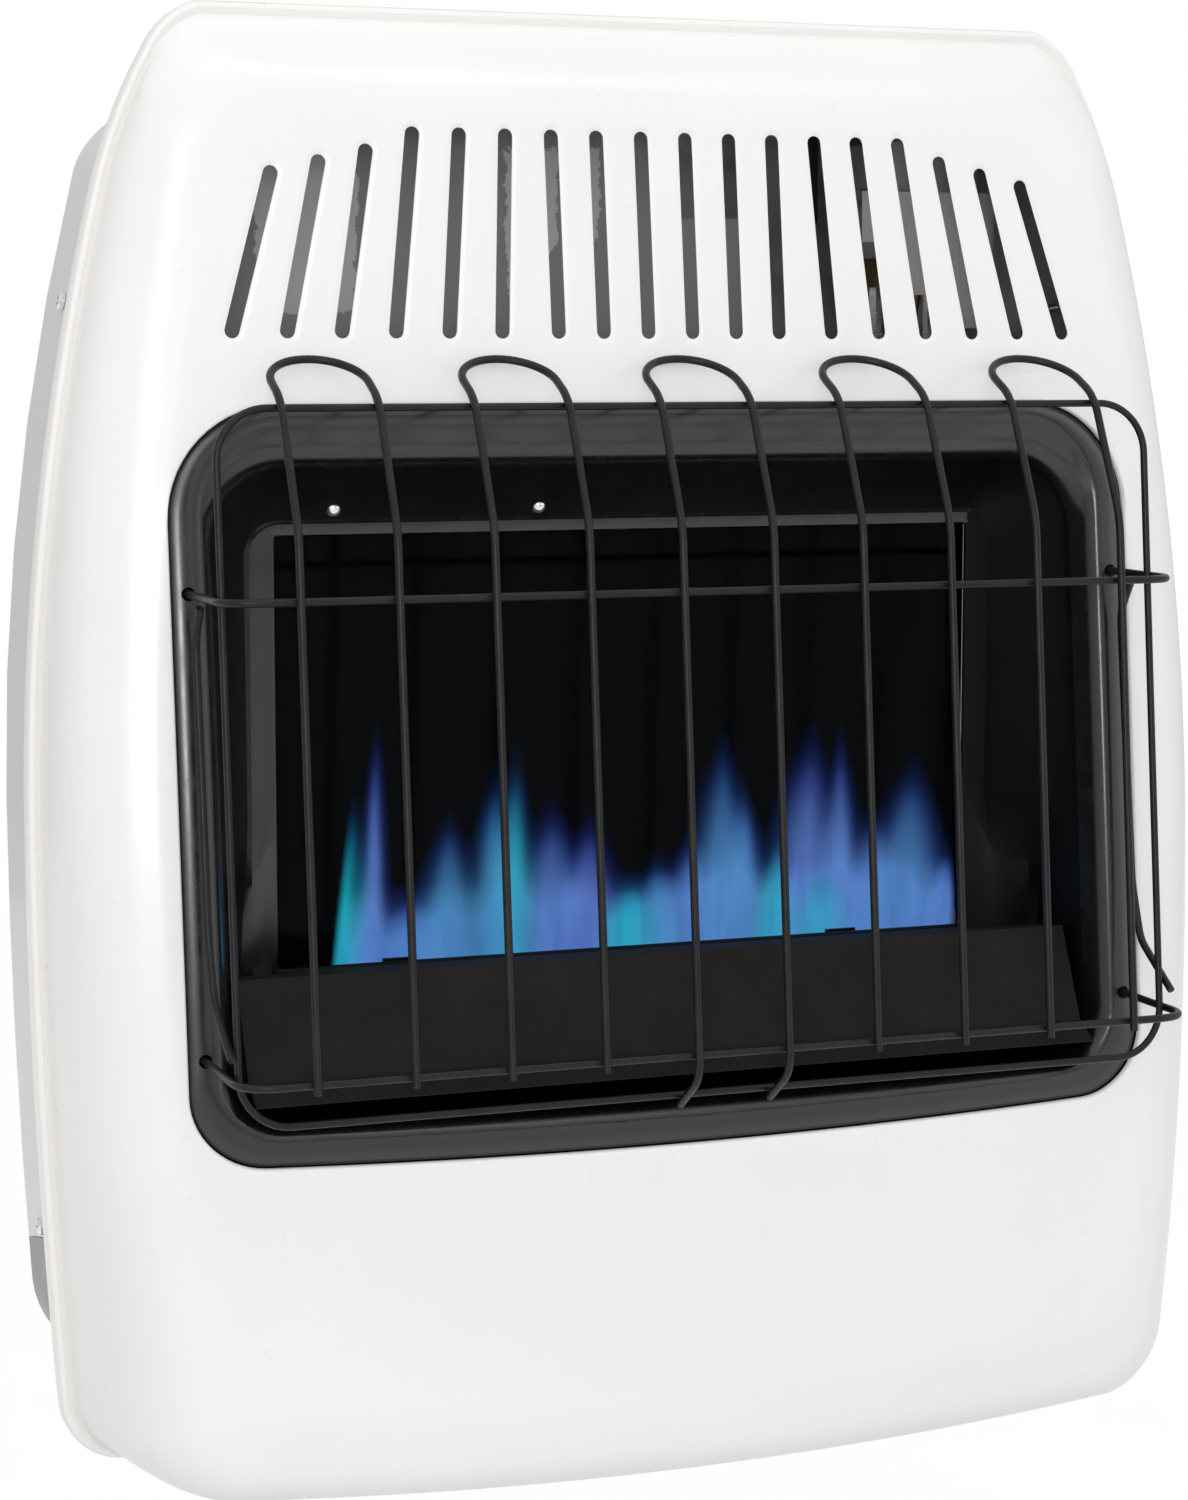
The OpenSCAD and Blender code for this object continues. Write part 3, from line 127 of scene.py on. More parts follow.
# The press form of the cover: the distance behind the rim's front, the share of the way
# out to the face, and the insets at the sides, the top and the bottom
PRESS_ROWS = [
    (RIM_RETURN, 0, 0, 0, 0),
    (2.4, 0, 0, 0, 0),
    (0.7, 0, 0.7, 0.7, 0.7),
    (0, 0, 2.4, 2.4, 2.2),
    (1.3, 0, 4.4, 5.2, 3),
    (0.6, 0.04, 5, 8, 2),
    (0, 0.25, 5.4, 14, -3),
    (0, 0.50, 8, 19, -4.5),
    (0, 0.70, 12.5, 23, -5.5),
    (0, 0.85, 19, 27, -4),
    (0, 0.95, 27.5, 32.5, 6),
    (0, 1, 40, 43, 29)]
# From this row on the form is smooth, with so many steps from row to row
PRESS_FIRST, PRESS_STEPS = 4, 5


def curve_point(a, b, c, d, t):
    """The value at a share t of the way from b to c, on a smooth curve through all four."""
    return 0.5 * (2 * b + (c - a) * t + (2 * a - 5 * b + 4 * c - d) * t * t
                  + (3 * b - a - 3 * c + d) * t ** 3)


def neighbours(items, i, first, last):
    """Items number i and i + 1 with the ones beside them, all between first and last."""
    return items[max(i - 1, first)], items[i], items[i + 1], items[min(i + 2, last)]


def smooth_rows(rows, first, steps):
    """The rows with more between them, on a smooth curve from row number first on."""
    last = len(rows) - 1
    out = list(rows[:first])
    for i in range(first, last):
        out += [tuple(curve_point(*values, k / steps)
                      for values in zip(*neighbours(rows, i, first, last)))
                for k in range(steps)]
    return out + [rows[-1]]


def blend_loops(loops, first, last, steps):
    """The loops with more between numbers first and last, on a smooth curve."""
    out = loops[:first]
    for i in range(first, last):
        out += [[tuple(curve_point(*values, k / steps) for values in zip(*corners))
                 for corners in zip(*neighbours(loops, i, first, last))]
                for k in range(steps)]
    return out + loops[last:]


def press_loop(row):
    back, share, side, top, bottom = row
    return [(x, -RIM_OUT + back + share * (face_y(x, z) + RIM_OUT), z)
            for x, z in barrel_loop(side, RIM_BOTTOM + bottom, COVER_TOP - top,
                                    RIM_BOTTOM_R + FACE_BOTTOM_R * share,
                                    RIM_TOP_R + FACE_TOP_R * share, share)]


def open_bow(x, z):
    """How far the bow of the opening's bottom edge lifts a point."""
    mid = (OPEN_TOP + OPEN_BOTTOM) / 2
    return x * x / (2 * OPEN_BOW_R) * (max(mid - z, 0) / (mid - OPEN_BOTTOM)) ** 2


def opening_loop(grow):
    """The outline of the cover's opening, moved outward."""
    return [(x, z + open_bow(x, z)) for x, z in
            rounded_loop(OPEN_W / 2 + grow, OPEN_BOTTOM - grow, OPEN_TOP + grow,
                         OPEN_BOTTOM_R + grow, OPEN_TOP_R + grow)]


def lip_loop(grow, back):
    return [(x, face_y(x, z) + back, z) for x, z in opening_loop(grow)]


# ------------------------------------------------------------------ making pieces
def add_object(name, data, mat, body=BODY, replaces=()):
    obj = bpy.data.objects.new(name, data)
    bpy.context.scene.collection.objects.link(obj)
    data.materials.append(mat)
    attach(obj, body)
    if replaces:
        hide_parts(*replaces)
    return obj


def mesh_piece(name, points, faces, mat, replaces=()):
    mesh = bpy.data.meshes.new(name)
    mesh.from_pydata([tuple(c * MM for c in p) for p in points], [], faces)
    mesh.validate()
    mesh.polygons.foreach_set("use_smooth", [True] * len(mesh.polygons))
    return add_object(name, mesh, mat, replaces=replaces)


def skin_faces(rows, n, closed=True):
    """The faces between rows of n points, which may close on themselves."""
    last = n if closed else n - 1
    return [(j * n + i, (j + 1) * n + i, (j + 1) * n + (i + 1) % n, j * n + (i + 1) % n)
            for j in range(rows - 1) for i in range(last)]


def tidy_normals(obj):
    """Joins points that coincide and turns all faces outward."""
    bm = bmesh.new()
    bm.from_mesh(obj.data)
    bmesh.ops.remove_doubles(bm, verts=bm.verts, dist=2e-6)
    bmesh.ops.recalc_face_normals(bm, faces=bm.faces)
    bm.to_mesh(obj.data)
    bm.free()


def solidify(obj, thickness):
    mod = obj.modifiers.new("sheet", "SOLIDIFY")
    mod.thickness = thickness * MM
    mod.offset = -1
    mod.use_even_offset = True


def smooth_group(angle):
    """A node group that welds a mesh and shades it smooth but for its sharp edges."""
    tree = bpy.data.node_groups.new("smooth_by_angle", "GeometryNodeTree")
    tree.interface.new_socket("Geometry", in_out="INPUT", socket_type="NodeSocketGeometry")
    tree.interface.new_socket("Geometry", in_out="OUTPUT", socket_type="NodeSocketGeometry")
    nodes, link = tree.nodes, tree.links.new
    gin, gout = nodes.new("NodeGroupInput"), nodes.new("NodeGroupOutput")
    weld = nodes.new("GeometryNodeMergeByDistance")
    weld.inputs["Distance"].default_value = 1e-6
    faces = nodes.new("GeometryNodeSetShadeSmooth")
    faces.domain = "FACE"
    faces.inputs["Shade Smooth"].default_value = True
    edges = nodes.new("GeometryNodeSetShadeSmooth")
    edges.domain = "EDGE"
    edges.inputs["Shade Smooth"].default_value = False
    edge_angle = nodes.new("GeometryNodeInputMeshEdgeAngle")
    compare = nodes.new("FunctionNodeCompare")
    compare.data_type = "FLOAT"
    compare.operation = "GREATER_THAN"
    compare.inputs[1].default_value = math.radians(angle)
    link(gin.outputs[0], weld.inputs["Geometry"])
    link(weld.outputs["Geometry"], faces.inputs["Geometry"])
    link(faces.outputs["Geometry"], edges.inputs["Geometry"])
    link(edge_angle.outputs["Unsigned Angle"], compare.inputs[0])
    link(compare.outputs["Result"], edges.inputs["Selection"])
    link(edges.outputs["Geometry"], gout.inputs[0])
    return tree


SMOOTH = smooth_group(angle=28)


def shade(obj):
    mod = obj.modifiers.new("shading", "NODES")
    mod.node_group = SMOOTH


def wire(name, paths, replaces, closed=False, d=WIRE_D):
    """Round wires along paths of points, in mm."""
    curve = bpy.data.curves.new(name, "CURVE")
    curve.dimensions = "3D"
    curve.bevel_depth = d / 2 * MM
    curve.bevel_resolution = 5
    curve.use_fill_caps = True
    for path in paths:
        spline = curve.splines.new("POLY")
        spline.points.add(len(path) - 1)
        for point, p in zip(spline.points, path):
            point.co = (p[0] * MM, p[1] * MM, p[2] * MM, 1)
        spline.use_cyclic_u = closed
        spline.use_smooth = True
    return add_object(name, curve, WIRE, replaces=replaces)


def bent(path, r, n=10):
    """The path with each of its corners rounded, from a distance r before it to r after."""
    path = [Vector(p) for p in path]
    out = [path[0]]
    for i in range(1, len(path) - 1):
        p = path[i]
        a = p + (path[i - 1] - p).normalized() * r
        b = p + (path[i + 1] - p).normalized() * r
        out += [a * (1 - f) ** 2 + p * 2 * f * (1 - f) + b * f * f
                for f in (k / n for k in range(n + 1))]
    out.append(path[-1])
    return out


# ------------------------------------------------------------------ materials
def new_node(tree, kind, **values):
    """A shader node with numbers or colours on its sockets."""
    node = tree.nodes.new(kind)
    for key, value in values.items():
        node.inputs[key.replace("_", " ")].default_value = value
    return node


def math_node(tree, operation, *values, clamp=False):
    """The result of a math node on numbers and sockets."""
    node = tree.nodes.new("ShaderNodeMath")
    node.operation = operation
    node.use_clamp = clamp
    for socket, value in zip(node.inputs, values):
        if isinstance(value, float):
            socket.default_value = value
        else:
            tree.links.new(value, socket)
    return node.outputs["Value"]


def map_range(tree, value, **limits):
    node = new_node(tree, "ShaderNodeMapRange", **limits)
    tree.links.new(value, node.inputs["Value"])
    return node.outputs["Result"]


def ray_is(tree, *kinds):
    """1 for a ray of one of the kinds, and 0 for any other."""
    rays = tree.nodes.new("ShaderNodeLightPath")
    out = rays.outputs[kinds[0]]
    for kind in kinds[1:]:
        out = math_node(tree, "MAXIMUM", out, rays.outputs[kind])
    return out


def blend_shaders(tree, share, first, second):
    """Makes the material's surface a blend of two shaders."""
    node = tree.nodes.new("ShaderNodeMixShader")
    for socket, source in zip(node.inputs, (share, first, second)):
        tree.links.new(source, socket)
    tree.links.new(node.outputs["Shader"], tree.nodes["Material Output"].inputs["Surface"])


class Look:
    """A material being built from nodes round one Principled shader."""

    def __init__(self, name):
        self.mat = bpy.data.materials.new(name)
        self.mat.use_nodes = True
        self.tree = self.mat.node_tree
        self.nodes, self.links = self.tree.nodes, self.tree.links
        self.bsdf = self.nodes["Principled BSDF"]
        self.coord = self.nodes.new("ShaderNodeTexCoord").outputs["Object"]

    def set(self, **values):
        for key, value in values.items():
            self.bsdf.inputs[key.replace("_", " ")].default_value = value

    def put(self, output, socket):
        self.links.new(output, self.bsdf.inputs[socket])

    def noise(self, scale, detail=4, roughness=0.5, stretch=None):
        node = new_node(self.tree, "ShaderNodeTexNoise", Scale=scale, Detail=detail,
                        Roughness=roughness)
        source = self.coord
        if stretch:
            mapping = new_node(self.tree, "ShaderNodeMapping", Scale=stretch)
            self.links.new(source, mapping.inputs["Vector"])
            source = mapping.outputs["Vector"]
        self.links.new(source, node.inputs["Vector"])
        return node.outputs["Fac"]

    def cells(self, scale):
        node = new_node(self.tree, "ShaderNodeTexVoronoi", Scale=scale)
        self.links.new(self.coord, node.inputs["Vector"])
        return node.outputs["Color"]

    def ramp(self, fac, stops):
        node = self.nodes.new("ShaderNodeValToRGB")
        ramp = node.color_ramp
        while len(ramp.elements) < len(stops):
            ramp.elements.new(0.5)
        for element, (place, color) in zip(ramp.elements, stops):
            element.position = place
            if isinstance(color, (int, float)):
                color = (color, color, color)
            element.color = (*color, 1)
        self.links.new(fac, node.inputs["Fac"])
        return node.outputs["Color"]

    def bump(self, height, distance, strength):
        node = new_node(self.tree, "ShaderNodeBump", Strength=strength, Distance=distance)
        self.links.new(height, node.inputs["Height"])
        self.put(node.outputs["Normal"], "Normal")

    def tint(self, scale, low, high, detail=4, stretch=None):
        self.put(self.ramp(self.noise(scale, detail, stretch=stretch),
                           [(0.3, low), (0.7, high)]), "Base Color")

    def rough(self, scale, low, high, stretch=None):
        self.put(self.ramp(self.noise(scale, 5, stretch=stretch),
                           [(0.3, low), (0.7, high)]), "Roughness")


def mix(color, k):
    """The colour made lighter or darker by a factor."""
    return tuple(min(1.0, c * k) for c in color)


def enamel(name, color, rough, peel=1.0):
    look = Look(name)
    look.tint(14, mix(color, 0.985), mix(color, 1.01), detail=3)
    look.rough(60, rough - 0.03, rough + 0.05)
    look.bump(look.noise(650, 2), 0.00003 * peel, 0.5)
    look.set(Coat_Weight=0.25, Coat_Roughness=0.12)
    return look.mat


def galvanised(name, color, rough=0.42):
    look = Look(name)
    spangle = look.cells(75)
    look.put(look.ramp(spangle, [(0.0, mix(color, 0.84)), (0.5, color),
                                 (1.0, mix(color, 1.12))]), "Base Color")
    look.put(look.ramp(spangle, [(0.0, rough - 0.1), (1.0, rough + 0.12)]), "Roughness")
    look.set(Metallic=0.85)
    look.bump(look.noise(120, 5), 0.0002, 0.3)
    return look.mat


def worn_zinc(name, color, light, edge, top):
    """Galvanised sheet with painted light: pale ragged patches, painted pools of light,
    which lie above the line edge (the points x, z in mm) and below top."""
    look = Look(name)
    tree = look.tree
    split = tree.nodes.new("ShaderNodeSeparateXYZ")
    look.links.new(look.coord, split.inputs["Vector"])
    ragged = math_node(tree, "ADD", look.noise(110, 7, 0.75), -0.5)
    x = math_node(tree, "MULTIPLY_ADD", ragged, 0.012, split.outputs["X"])
    z = math_node(tree, "MULTIPLY_ADD", ragged, 0.020, split.outputs["Z"])
    first, last, low, high = edge[0][0], edge[-1][0], -60.0, 50.0
    place = map_range(tree, x, From_Min=first * MM, From_Max=last * MM)
    border = look.ramp(place, [((px - first) / (last - first), (pz - low) / (high - low))
                               for px, pz in edge])
    height = math_node(tree, "MULTIPLY_ADD", border, (high - low) * MM, low * MM)
    # The mask of the painted pools of light
    light_pool = math_node(tree, "MULTIPLY", math_node(tree, "GREATER_THAN", z, height),
                      math_node(tree, "LESS_THAN", z, top * MM))
    look.put(look.ramp(light_pool, [(0.0, color), (1.0, light)]), "Base Color")
    look.rough(60, 0.45, 0.65)
    look.bump(look.noise(120, 5), 0.0002, 0.3)
    return look.mat


def brushed(name, color, rough=0.35, along=(1, 1, 60)):
    look = Look(name)
    look.tint(40, mix(color, 0.9), mix(color, 1.06), detail=6, stretch=along)
    look.rough(45, rough - 0.08, rough + 0.12, stretch=along)
    look.set(Metallic=0.95)
    look.bump(look.noise(60, 6, stretch=along), 0.00008, 0.35)
    return look.mat


def cast(name, color):
    look = Look(name)
    look.tint(90, mix(color, 0.88), mix(color, 1.05))
    look.rough(150, 0.42, 0.6)
    look.set(Metallic=0.8)
    look.bump(look.noise(900, 3), 0.00012, 0.5)
    return look.mat


def moulded(name, color, rough, grain=0.00003):
    look = Look(name)
    look.tint(60, mix(color, 0.85), mix(color, 1.2))
    look.rough(110, rough - 0.05, rough + 0.08)
    look.bump(look.noise(1500, 2), grain, 0.5)
    return look.mat


def wire_coat(name):
    look = Look(name)
    look.tint(70, (0.006, 0.006, 0.006), (0.013, 0.012, 0.0115))
    look.rough(240, 0.28, 0.42)
    look.set(Specular_IOR_Level=0.27)
    look.bump(look.noise(700, 3), 0.00006, 0.4)
    return look.mat


def black_sheet(name, rough=0.24, color=(0.004, 0.0037, 0.0035), gloss=0.5, coat=0.55):
    look = Look(name)
    look.tint(30, mix(color, 0.75), mix(color, 1.3))
    look.rough(90, rough - 0.05, rough + 0.08)
    look.set(Specular_IOR_Level=gloss, Coat_Weight=coat, Coat_Roughness=rough * 0.8)
    look.bump(look.noise(520, 3), 0.00004, 0.5)
    return look.mat


def fibre(name, color):
    look = Look(name)
    look.tint(500, mix(color, 0.7), mix(color, 1.08), stretch=(1, 1, 4))
    look.set(Roughness=0.95, Sheen_Weight=0.3)
    look.bump(look.noise(700, 4, stretch=(3, 1, 1)), 0.0004, 0.8)
    return look.mat


def glass_look(name):
    look = Look(name)
    look.nodes.remove(look.bsdf)
    clear = new_node(look.tree, "ShaderNodeBsdfTransparent", Color=(0.86, 0.87, 0.89, 1))
    gloss = new_node(look.tree, "ShaderNodeBsdfGlossy", Roughness=0.03,
                     Color=(0.9, 0.92, 0.95, 1))
    fresnel = new_node(look.tree, "ShaderNodeFresnel", IOR=1.1)
    blend_shaders(look.tree, fresnel.outputs["Fac"], clear.outputs["BSDF"],
                  gloss.outputs["BSDF"])
    return look.mat


WHITE = enamel("white_enamel_look", (0.90, 0.885, 0.867), 0.30)
# The casing is the cover's white enamel, given a darker grey: painted shade
SHADED_CASING = enamel("casing_painted_shade_look", (0.72, 0.71, 0.69), 0.40, 1.6)
# The base pan is given a dark grey: painted shade of the casing's lower corners
SHADED_PAN = enamel("pan_painted_shade_look", (0.190, 0.184, 0.175), 0.45, 1.6)
BLACK = black_sheet("black_enamel_look")
# A darker, duller copy of the black for the surround's recess and its right side: painted
# shade
SHADE_BLACK = black_sheet("painted_shade_black_look", 0.45, (0.0022, 0.002, 0.0018), 0.12, 0)
PANEL = black_sheet("panel_black_look", 0.72, (0.0085, 0.0074, 0.0068), 0.18, 0)
SOOT = black_sheet("firebox_black_look", 0.9, (0.0015, 0.0015, 0.0015), 0.04, 0)
WIRE = wire_coat("wire_coat_look")
ZINC = galvanised("galvanised_look", (0.60, 0.60, 0.59))
STEEL = brushed("steel_look", (0.62, 0.63, 0.64))
BRIGHT = brushed("bright_plate_look", (0.83, 0.83, 0.84), 0.18)
ALU_SHEET = galvanised("aluminised_look", (0.50, 0.50, 0.49), 0.55)
BRASS = brushed("brass_look", (0.78, 0.60, 0.30), 0.3)
COPPER = brushed("copper_look", (0.46, 0.27, 0.19), 0.42)
CAST = cast("cast_aluminium_look", (0.66, 0.66, 0.65))
TUBE = brushed("tube_look", (0.74, 0.75, 0.77), 0.3)
KNOB = moulded("knob_look", (0.018, 0.018, 0.019), 0.45)
IGNITER = moulded("igniter_look", (0.02, 0.02, 0.02), 0.4)
BUTTON = moulded("button_look", (0.55, 0.03, 0.02), 0.22, 0.00001)
LEAD = moulded("lead_look", (0.75, 0.22, 0.05), 0.5)
CERAMIC = enamel("ceramic_look", (0.86, 0.83, 0.77), 0.2, 0.5)
FIBRE = fibre("gasket_look", (0.66, 0.63, 0.56))
LABEL = brushed("label_look", (0.60, 0.60, 0.58), 0.5, (40, 1, 1))
DIAL = enamel("dial_look", (0.80, 0.80, 0.79), 0.4)
GLASS = glass_look("window_glass_look")

SLOT_LOOKS = {
    "white_enamel": WHITE, "black_enamel": BLACK, "black_wire": WIRE, "casing_grey": SHADED_CASING,
    "pan_dark": SHADED_PAN, "galvanised": ZINC, "aluminised": ALU_SHEET, "steel": STEEL,
    "bright_screw": BRIGHT, "brass": BRASS, "cast_aluminium": CAST, "tube_aluminium": TUBE,
    "glass": GLASS, "gasket_fibre": FIBRE, "knob_black": KNOB, "igniter_black": IGNITER,
    "button_red": BUTTON, "lead_orange": LEAD, "electrode_ceramic": CERAMIC, "label": LABEL,
    "dial": DIAL}
# Painted pools of light where light through the slots falls on the heat shield: pale
# patches above this line and below the top
LIT_PATCH_EDGE = [
    (-190, 50), (-152, 50), (-151, -39), (-109, -39), (-108, 50), (-44.5, 50), (-43.5, -40),
    (-40, -38), (-24, -13), (-21.5, -12), (-21, 50), (-13, 50), (-12.5, -9), (-3, -8),
    (-2.5, 50), (70, 50)]
LIT_PATCH_TOP = 29.0
SHIELD = worn_zinc("shield_look", (0.50, 0.49, 0.475), (0.98, 0.98, 0.96), LIT_PATCH_EDGE,
                   LIT_PATCH_TOP)
NODE_LOOKS = {"lower_panel": PANEL, "heat_shield": SHIELD, "firebox": SOOT,
              "glass_clips": BLACK, "thermocouple": COPPER}

for entry in frame["record"]["subparts"]:
    node = frame["nodes"][entry["node"]]
    mat = NODE_LOOKS.get(entry["node"], SLOT_LOOKS[entry["material_slot"]])
    node.data.materials.clear()
    node.data.materials.append(mat)
    shade(node)


# ------------------------------------------------------------------ front cover
# On each side the first slots are upright, and the last get shorter from slot to slot
UPRIGHT, FULL_LENGTH, DROP, DROP_STEP = 3, 6, 7, 4.5


def slot_ends(k):
    """The middles of a slot's round ends, on the right side."""
    fan, inner = k - UPRIGHT, SLOT_PITCH * (UPRIGHT - 0.5)
    foot = SLOT_PITCH * (k + 0.5) if k < UPRIGHT else inner + FAN_GAP + FAN_FOOT * fan
    head = foot if k < UPRIGHT else inner + FAN_HEAD * (fan + 1)
    drop = 0 if k < FULL_LENGTH else DROP + DROP_STEP * (k - FULL_LENGTH)
    return (Vector((foot, SLOT_Z + SLOT_W / 2)),
            Vector((head, SLOT_Z + SLOT_LEN - drop - SLOT_W / 2)))


SLOTS = []
for k in range(9):
    a, b = slot_ends(k)
    SLOTS += [(a, b), (Vector((-a.x, a.y)), Vector((-b.x, b.y)))]


def slot_distance(p, ends):
    """How far a point lies outside a slot."""
    a, b = ends
    run = b - a
    t = max(0.0, min(1.0, (p - a).dot(run) / run.length_squared))
    return (p - a - run * t).length - SLOT_W / 2


# Each slot lies in a shallow coined rim: its width, its depth, and the radius of the
# slot's own edge
COIN, COIN_DEPTH, EDGE = 2.2, 0.45, 0.35
# Loops of points round each slot, by their distance from it
SLOT_RINGS = (0, 0.08, EDGE, 0.8, 1.3, 1.8, COIN, 3.2)
END_N, SIDE_N = 16, 14
# Spacing and range of the other points of the face, and how far they keep from the slots
FACE_GRID, FACE_X, FACE_Z, SLOT_CLEAR = 9, (-240, 241), (-480, 61), 5


def roll_in(d):
    """How far the face dips at a distance from a slot."""
    dip = 0.0 if d >= COIN else COIN_DEPTH * (1 - (d / COIN) ** 2) ** 2
    if d < EDGE:
        dip += EDGE * (1 - math.sqrt(max(0.0, 1 - (1 - d / EDGE) ** 2)))
    return dip


def slot_ring(ends, grow):
    a, b = ends
    run = (b - a).normalized()
    start = math.atan2(run.y, run.x)
    r = SLOT_W / 2 + grow
    across = Vector((run.y, -run.x)) * r
    out = []
    for end, other, side, turn in ((a, b, across, 0.5), (b, a, -across, -0.5)):
        for k in range(END_N + 1):
            angle = start + math.pi * turn + math.pi * k / END_N
            out.append(end + r * Vector((math.cos(angle), math.sin(angle))))
        out += [end + side + (other - end) * k / SIDE_N for k in range(1, SIDE_N)]
    return out


def inside(p, poly):
    """Whether a point lies in an outline."""
    hit = False
    j = len(poly) - 1
    for i, (x, z) in enumerate(poly):
        xj, zj = poly[j]
        if (z > p[1]) != (zj > p[1]) and p[0] < (xj - x) * (p[1] - z) / (zj - z) + x:
            hit = not hit
        j = i
    return hit


def face_region(outer, inner):
    """Triangles of the crowned face between two loops, with the slots cut in it."""
    points, edges = [], []

    def add_loop(loop):
        first = len(points)
        points.extend(Vector(p) for p in loop)
        n = len(loop)
        edges.extend((first + i, first + (i + 1) % n) for i in range(n))

    def on_face(p, clear):
        return (min(slot_distance(p, ends) for ends in SLOTS) > clear
                and inside(p, outer) and not inside(p, inner))

    add_loop(outer)
    add_loop(inner)
    for ends in SLOTS:
        for grow in SLOT_RINGS:
            add_loop(slot_ring(ends, grow))
    for x in range(*FACE_X, FACE_GRID):
        for z in range(*FACE_Z, FACE_GRID):
            if on_face(Vector((x, z)), SLOT_CLEAR):
                points.append(Vector((x, z)))
    verts, _, faces, _, _, _ = delaunay_2d_cdt(points, edges, [], 0, 1e-5)
    kept = [tuple(f) for f in faces
            if on_face(sum((verts[i] for i in f), Vector((0, 0))) / len(f), 0)]
    placed = []
    for v in verts:
        d = min(slot_distance(v, ends) for ends in SLOTS)
        placed.append((v.x, face_y(v.x, v.y) + roll_in(max(d, 0.0)), v.y))
    return placed, kept


# The opening's turned in lip: the distances out from its edge and behind the face
LIP_ROWS = [(0.9, 0), (0.5, 0.06), (0.1, 0.3), (-0.2, 0.65), (-0.42, 1.1), (-0.5, 1.7),
            (-0.5, LIP_IN)]


def join(points, faces, more_points, more_faces):
    """Adds another part to a mesh's lists of points and faces."""
    base = len(points)
    points += more_points
    faces += [tuple(base + i for i in f) for f in more_faces]


loops = [press_loop(row) for row in smooth_rows(PRESS_ROWS, PRESS_FIRST, PRESS_STEPS)]
n = len(loops[0])
points = [p for loop in loops for p in loop]
faces = skin_faces(len(loops), n)
outer = [(x, z) for x, _, z in loops[-1]]
join(points, faces, *face_region(outer, opening_loop(LIP_ROWS[0][0])))
lip = [p for row in LIP_ROWS for p in lip_loop(*row)]
join(points, faces, lip, skin_faces(len(LIP_ROWS), n))
cover = mesh_piece("front_cover_skin", points, faces, WHITE,
                   replaces=["front_cover"])
tidy_normals(cover)
solidify(cover, COVER_T)
shade(cover)

# ------------------------------------------------------------------ window surround
FLANGE_BACK = LIP_IN + GAP
# The flange round the window: the distance behind the face, and the insets from the
# opening at the sides, the top and the bottom
FLANGE_ROWS = [
    (FLANGE_BACK + 0.9, -4, -4, -4),
    (FLANGE_BACK + 0.9, 0.3, 0.3, 0.3),
    (FLANGE_BACK - 0.5, 1.8, 1.4, 1.8),
    (FLANGE_BACK - 1.4, 6, 4, 6),
    (FLANGE_BACK - 1, 12, 7, 11.5),
    (FLANGE_BACK + 1, 15, 11, 14),
    (FLANGE_BACK + 3.5, 16.8, 17, 15.4),
    (FLANGE_BACK + 8, 18.6, 22.5, 16.2),
    (FLANGE_BACK + 15, 21, 26, 17.4)]
# The wall from the flange back to the frame round the window: the share of the way back
# and the inset at the sides, and then both at the top
WALL_ROWS = [
    (0.25, 26.5, 0.39, 33),
    (0.50, 32, 0.773, 39.5),
    (0.85, 39.7, 0.946, 46.8),
    (1, 43, 1, 48.4)]
# How far the wall ends in front of the window's edge, and the frame's own turned edge: how
# far out from the window and in front of its edge
FRAME_OUT = 2.1
WINDOW_ROWS = [(1.4, 1.9), (0.3, 1.6), (0, 0)]
# Behind the lower panel the wall leaves room for the panel's ends and the glass clips. Its
# rows there: the distance in front of the window's edge, and the insets as above
FOOT_ROWS = [
    (13.5, 22, 33, 18.4),
    (10.5, 25, 35.5, 20),
    (10, 36, 37.5, 24),
    (8, 41, 39.5, 30)]
# The heights between which the wall goes over to these rows, and where it is behind the
# panel altogether
FOOT_Z = (-236.0, -297.0)
WALL_FOOT = -296.0
# The share of an inset by which the corners' radius gets smaller
CORNER_SHARE, TOP_CORNER_SHARE = 0.45, 0.75


def inset_loop(row, top_share=TOP_CORNER_SHARE):
    """The opening's outline, moved inward by a row's insets."""
    return rounded_loop(OPEN_W / 2 - row[1], OPEN_BOTTOM + row[3], OPEN_TOP - row[2],
                        OPEN_BOTTOM_R - row[1] * CORNER_SHARE,
                        OPEN_TOP_R - row[1] * top_share)


def ease(t):
    """A smooth step from 0 to 1."""
    t = max(0.0, min(1.0, t))
    return t * t * (3 - 2 * t)


def flange_point(x, z, back):
    z += open_bow(x, z)
    return x, face_y(x, z) + back, z


def window_loop(grow, out):
    return [(x, -WIN_OUT - out, z) for x, z in
            rounded_loop(WIN_W / 2 + grow, WIN_BOTTOM - grow, WIN_TOP + grow, 1.5, 1.5)]


def wall_loop(row, foot_row):
    """A loop of the wall, which goes over from one row to the other at the foot."""
    side_back, side, top_back, top = row
    upper = inset_loop((0, side, top, foot_row[3]))
    lower = inset_loop(foot_row, CORNER_SHARE)
    corner = OPEN_TOP - top - (OPEN_TOP_R - side * TOP_CORNER_SHARE)
    out = []
    for (x, z), (fx, fz) in zip(upper, lower):
        above = ease((z - corner) / (OPEN_TOP - top - corner))
        share = side_back + (top_back - side_back) * above
        front = face_y(x, z) + FLANGE_ROWS[-1][0]
        y = front + (-WIN_OUT - FRAME_OUT - front) * share
        foot = ease((FOOT_Z[0] - z) / (FOOT_Z[0] - FOOT_Z[1]))
        fy = -WIN_OUT - foot_row[0]
        out.append((x + (fx - x) * foot, y + (fy - y) * foot, z + (fz - z) * foot))
    return out


flange = [[flange_point(x, z, row[0]) for x, z in inset_loop(row)] for row in FLANGE_ROWS]
back = [wall_loop(row, foot) for row, foot in zip(WALL_ROWS, FOOT_ROWS)]
loops = flange + back + [window_loop(*row) for row in WINDOW_ROWS]


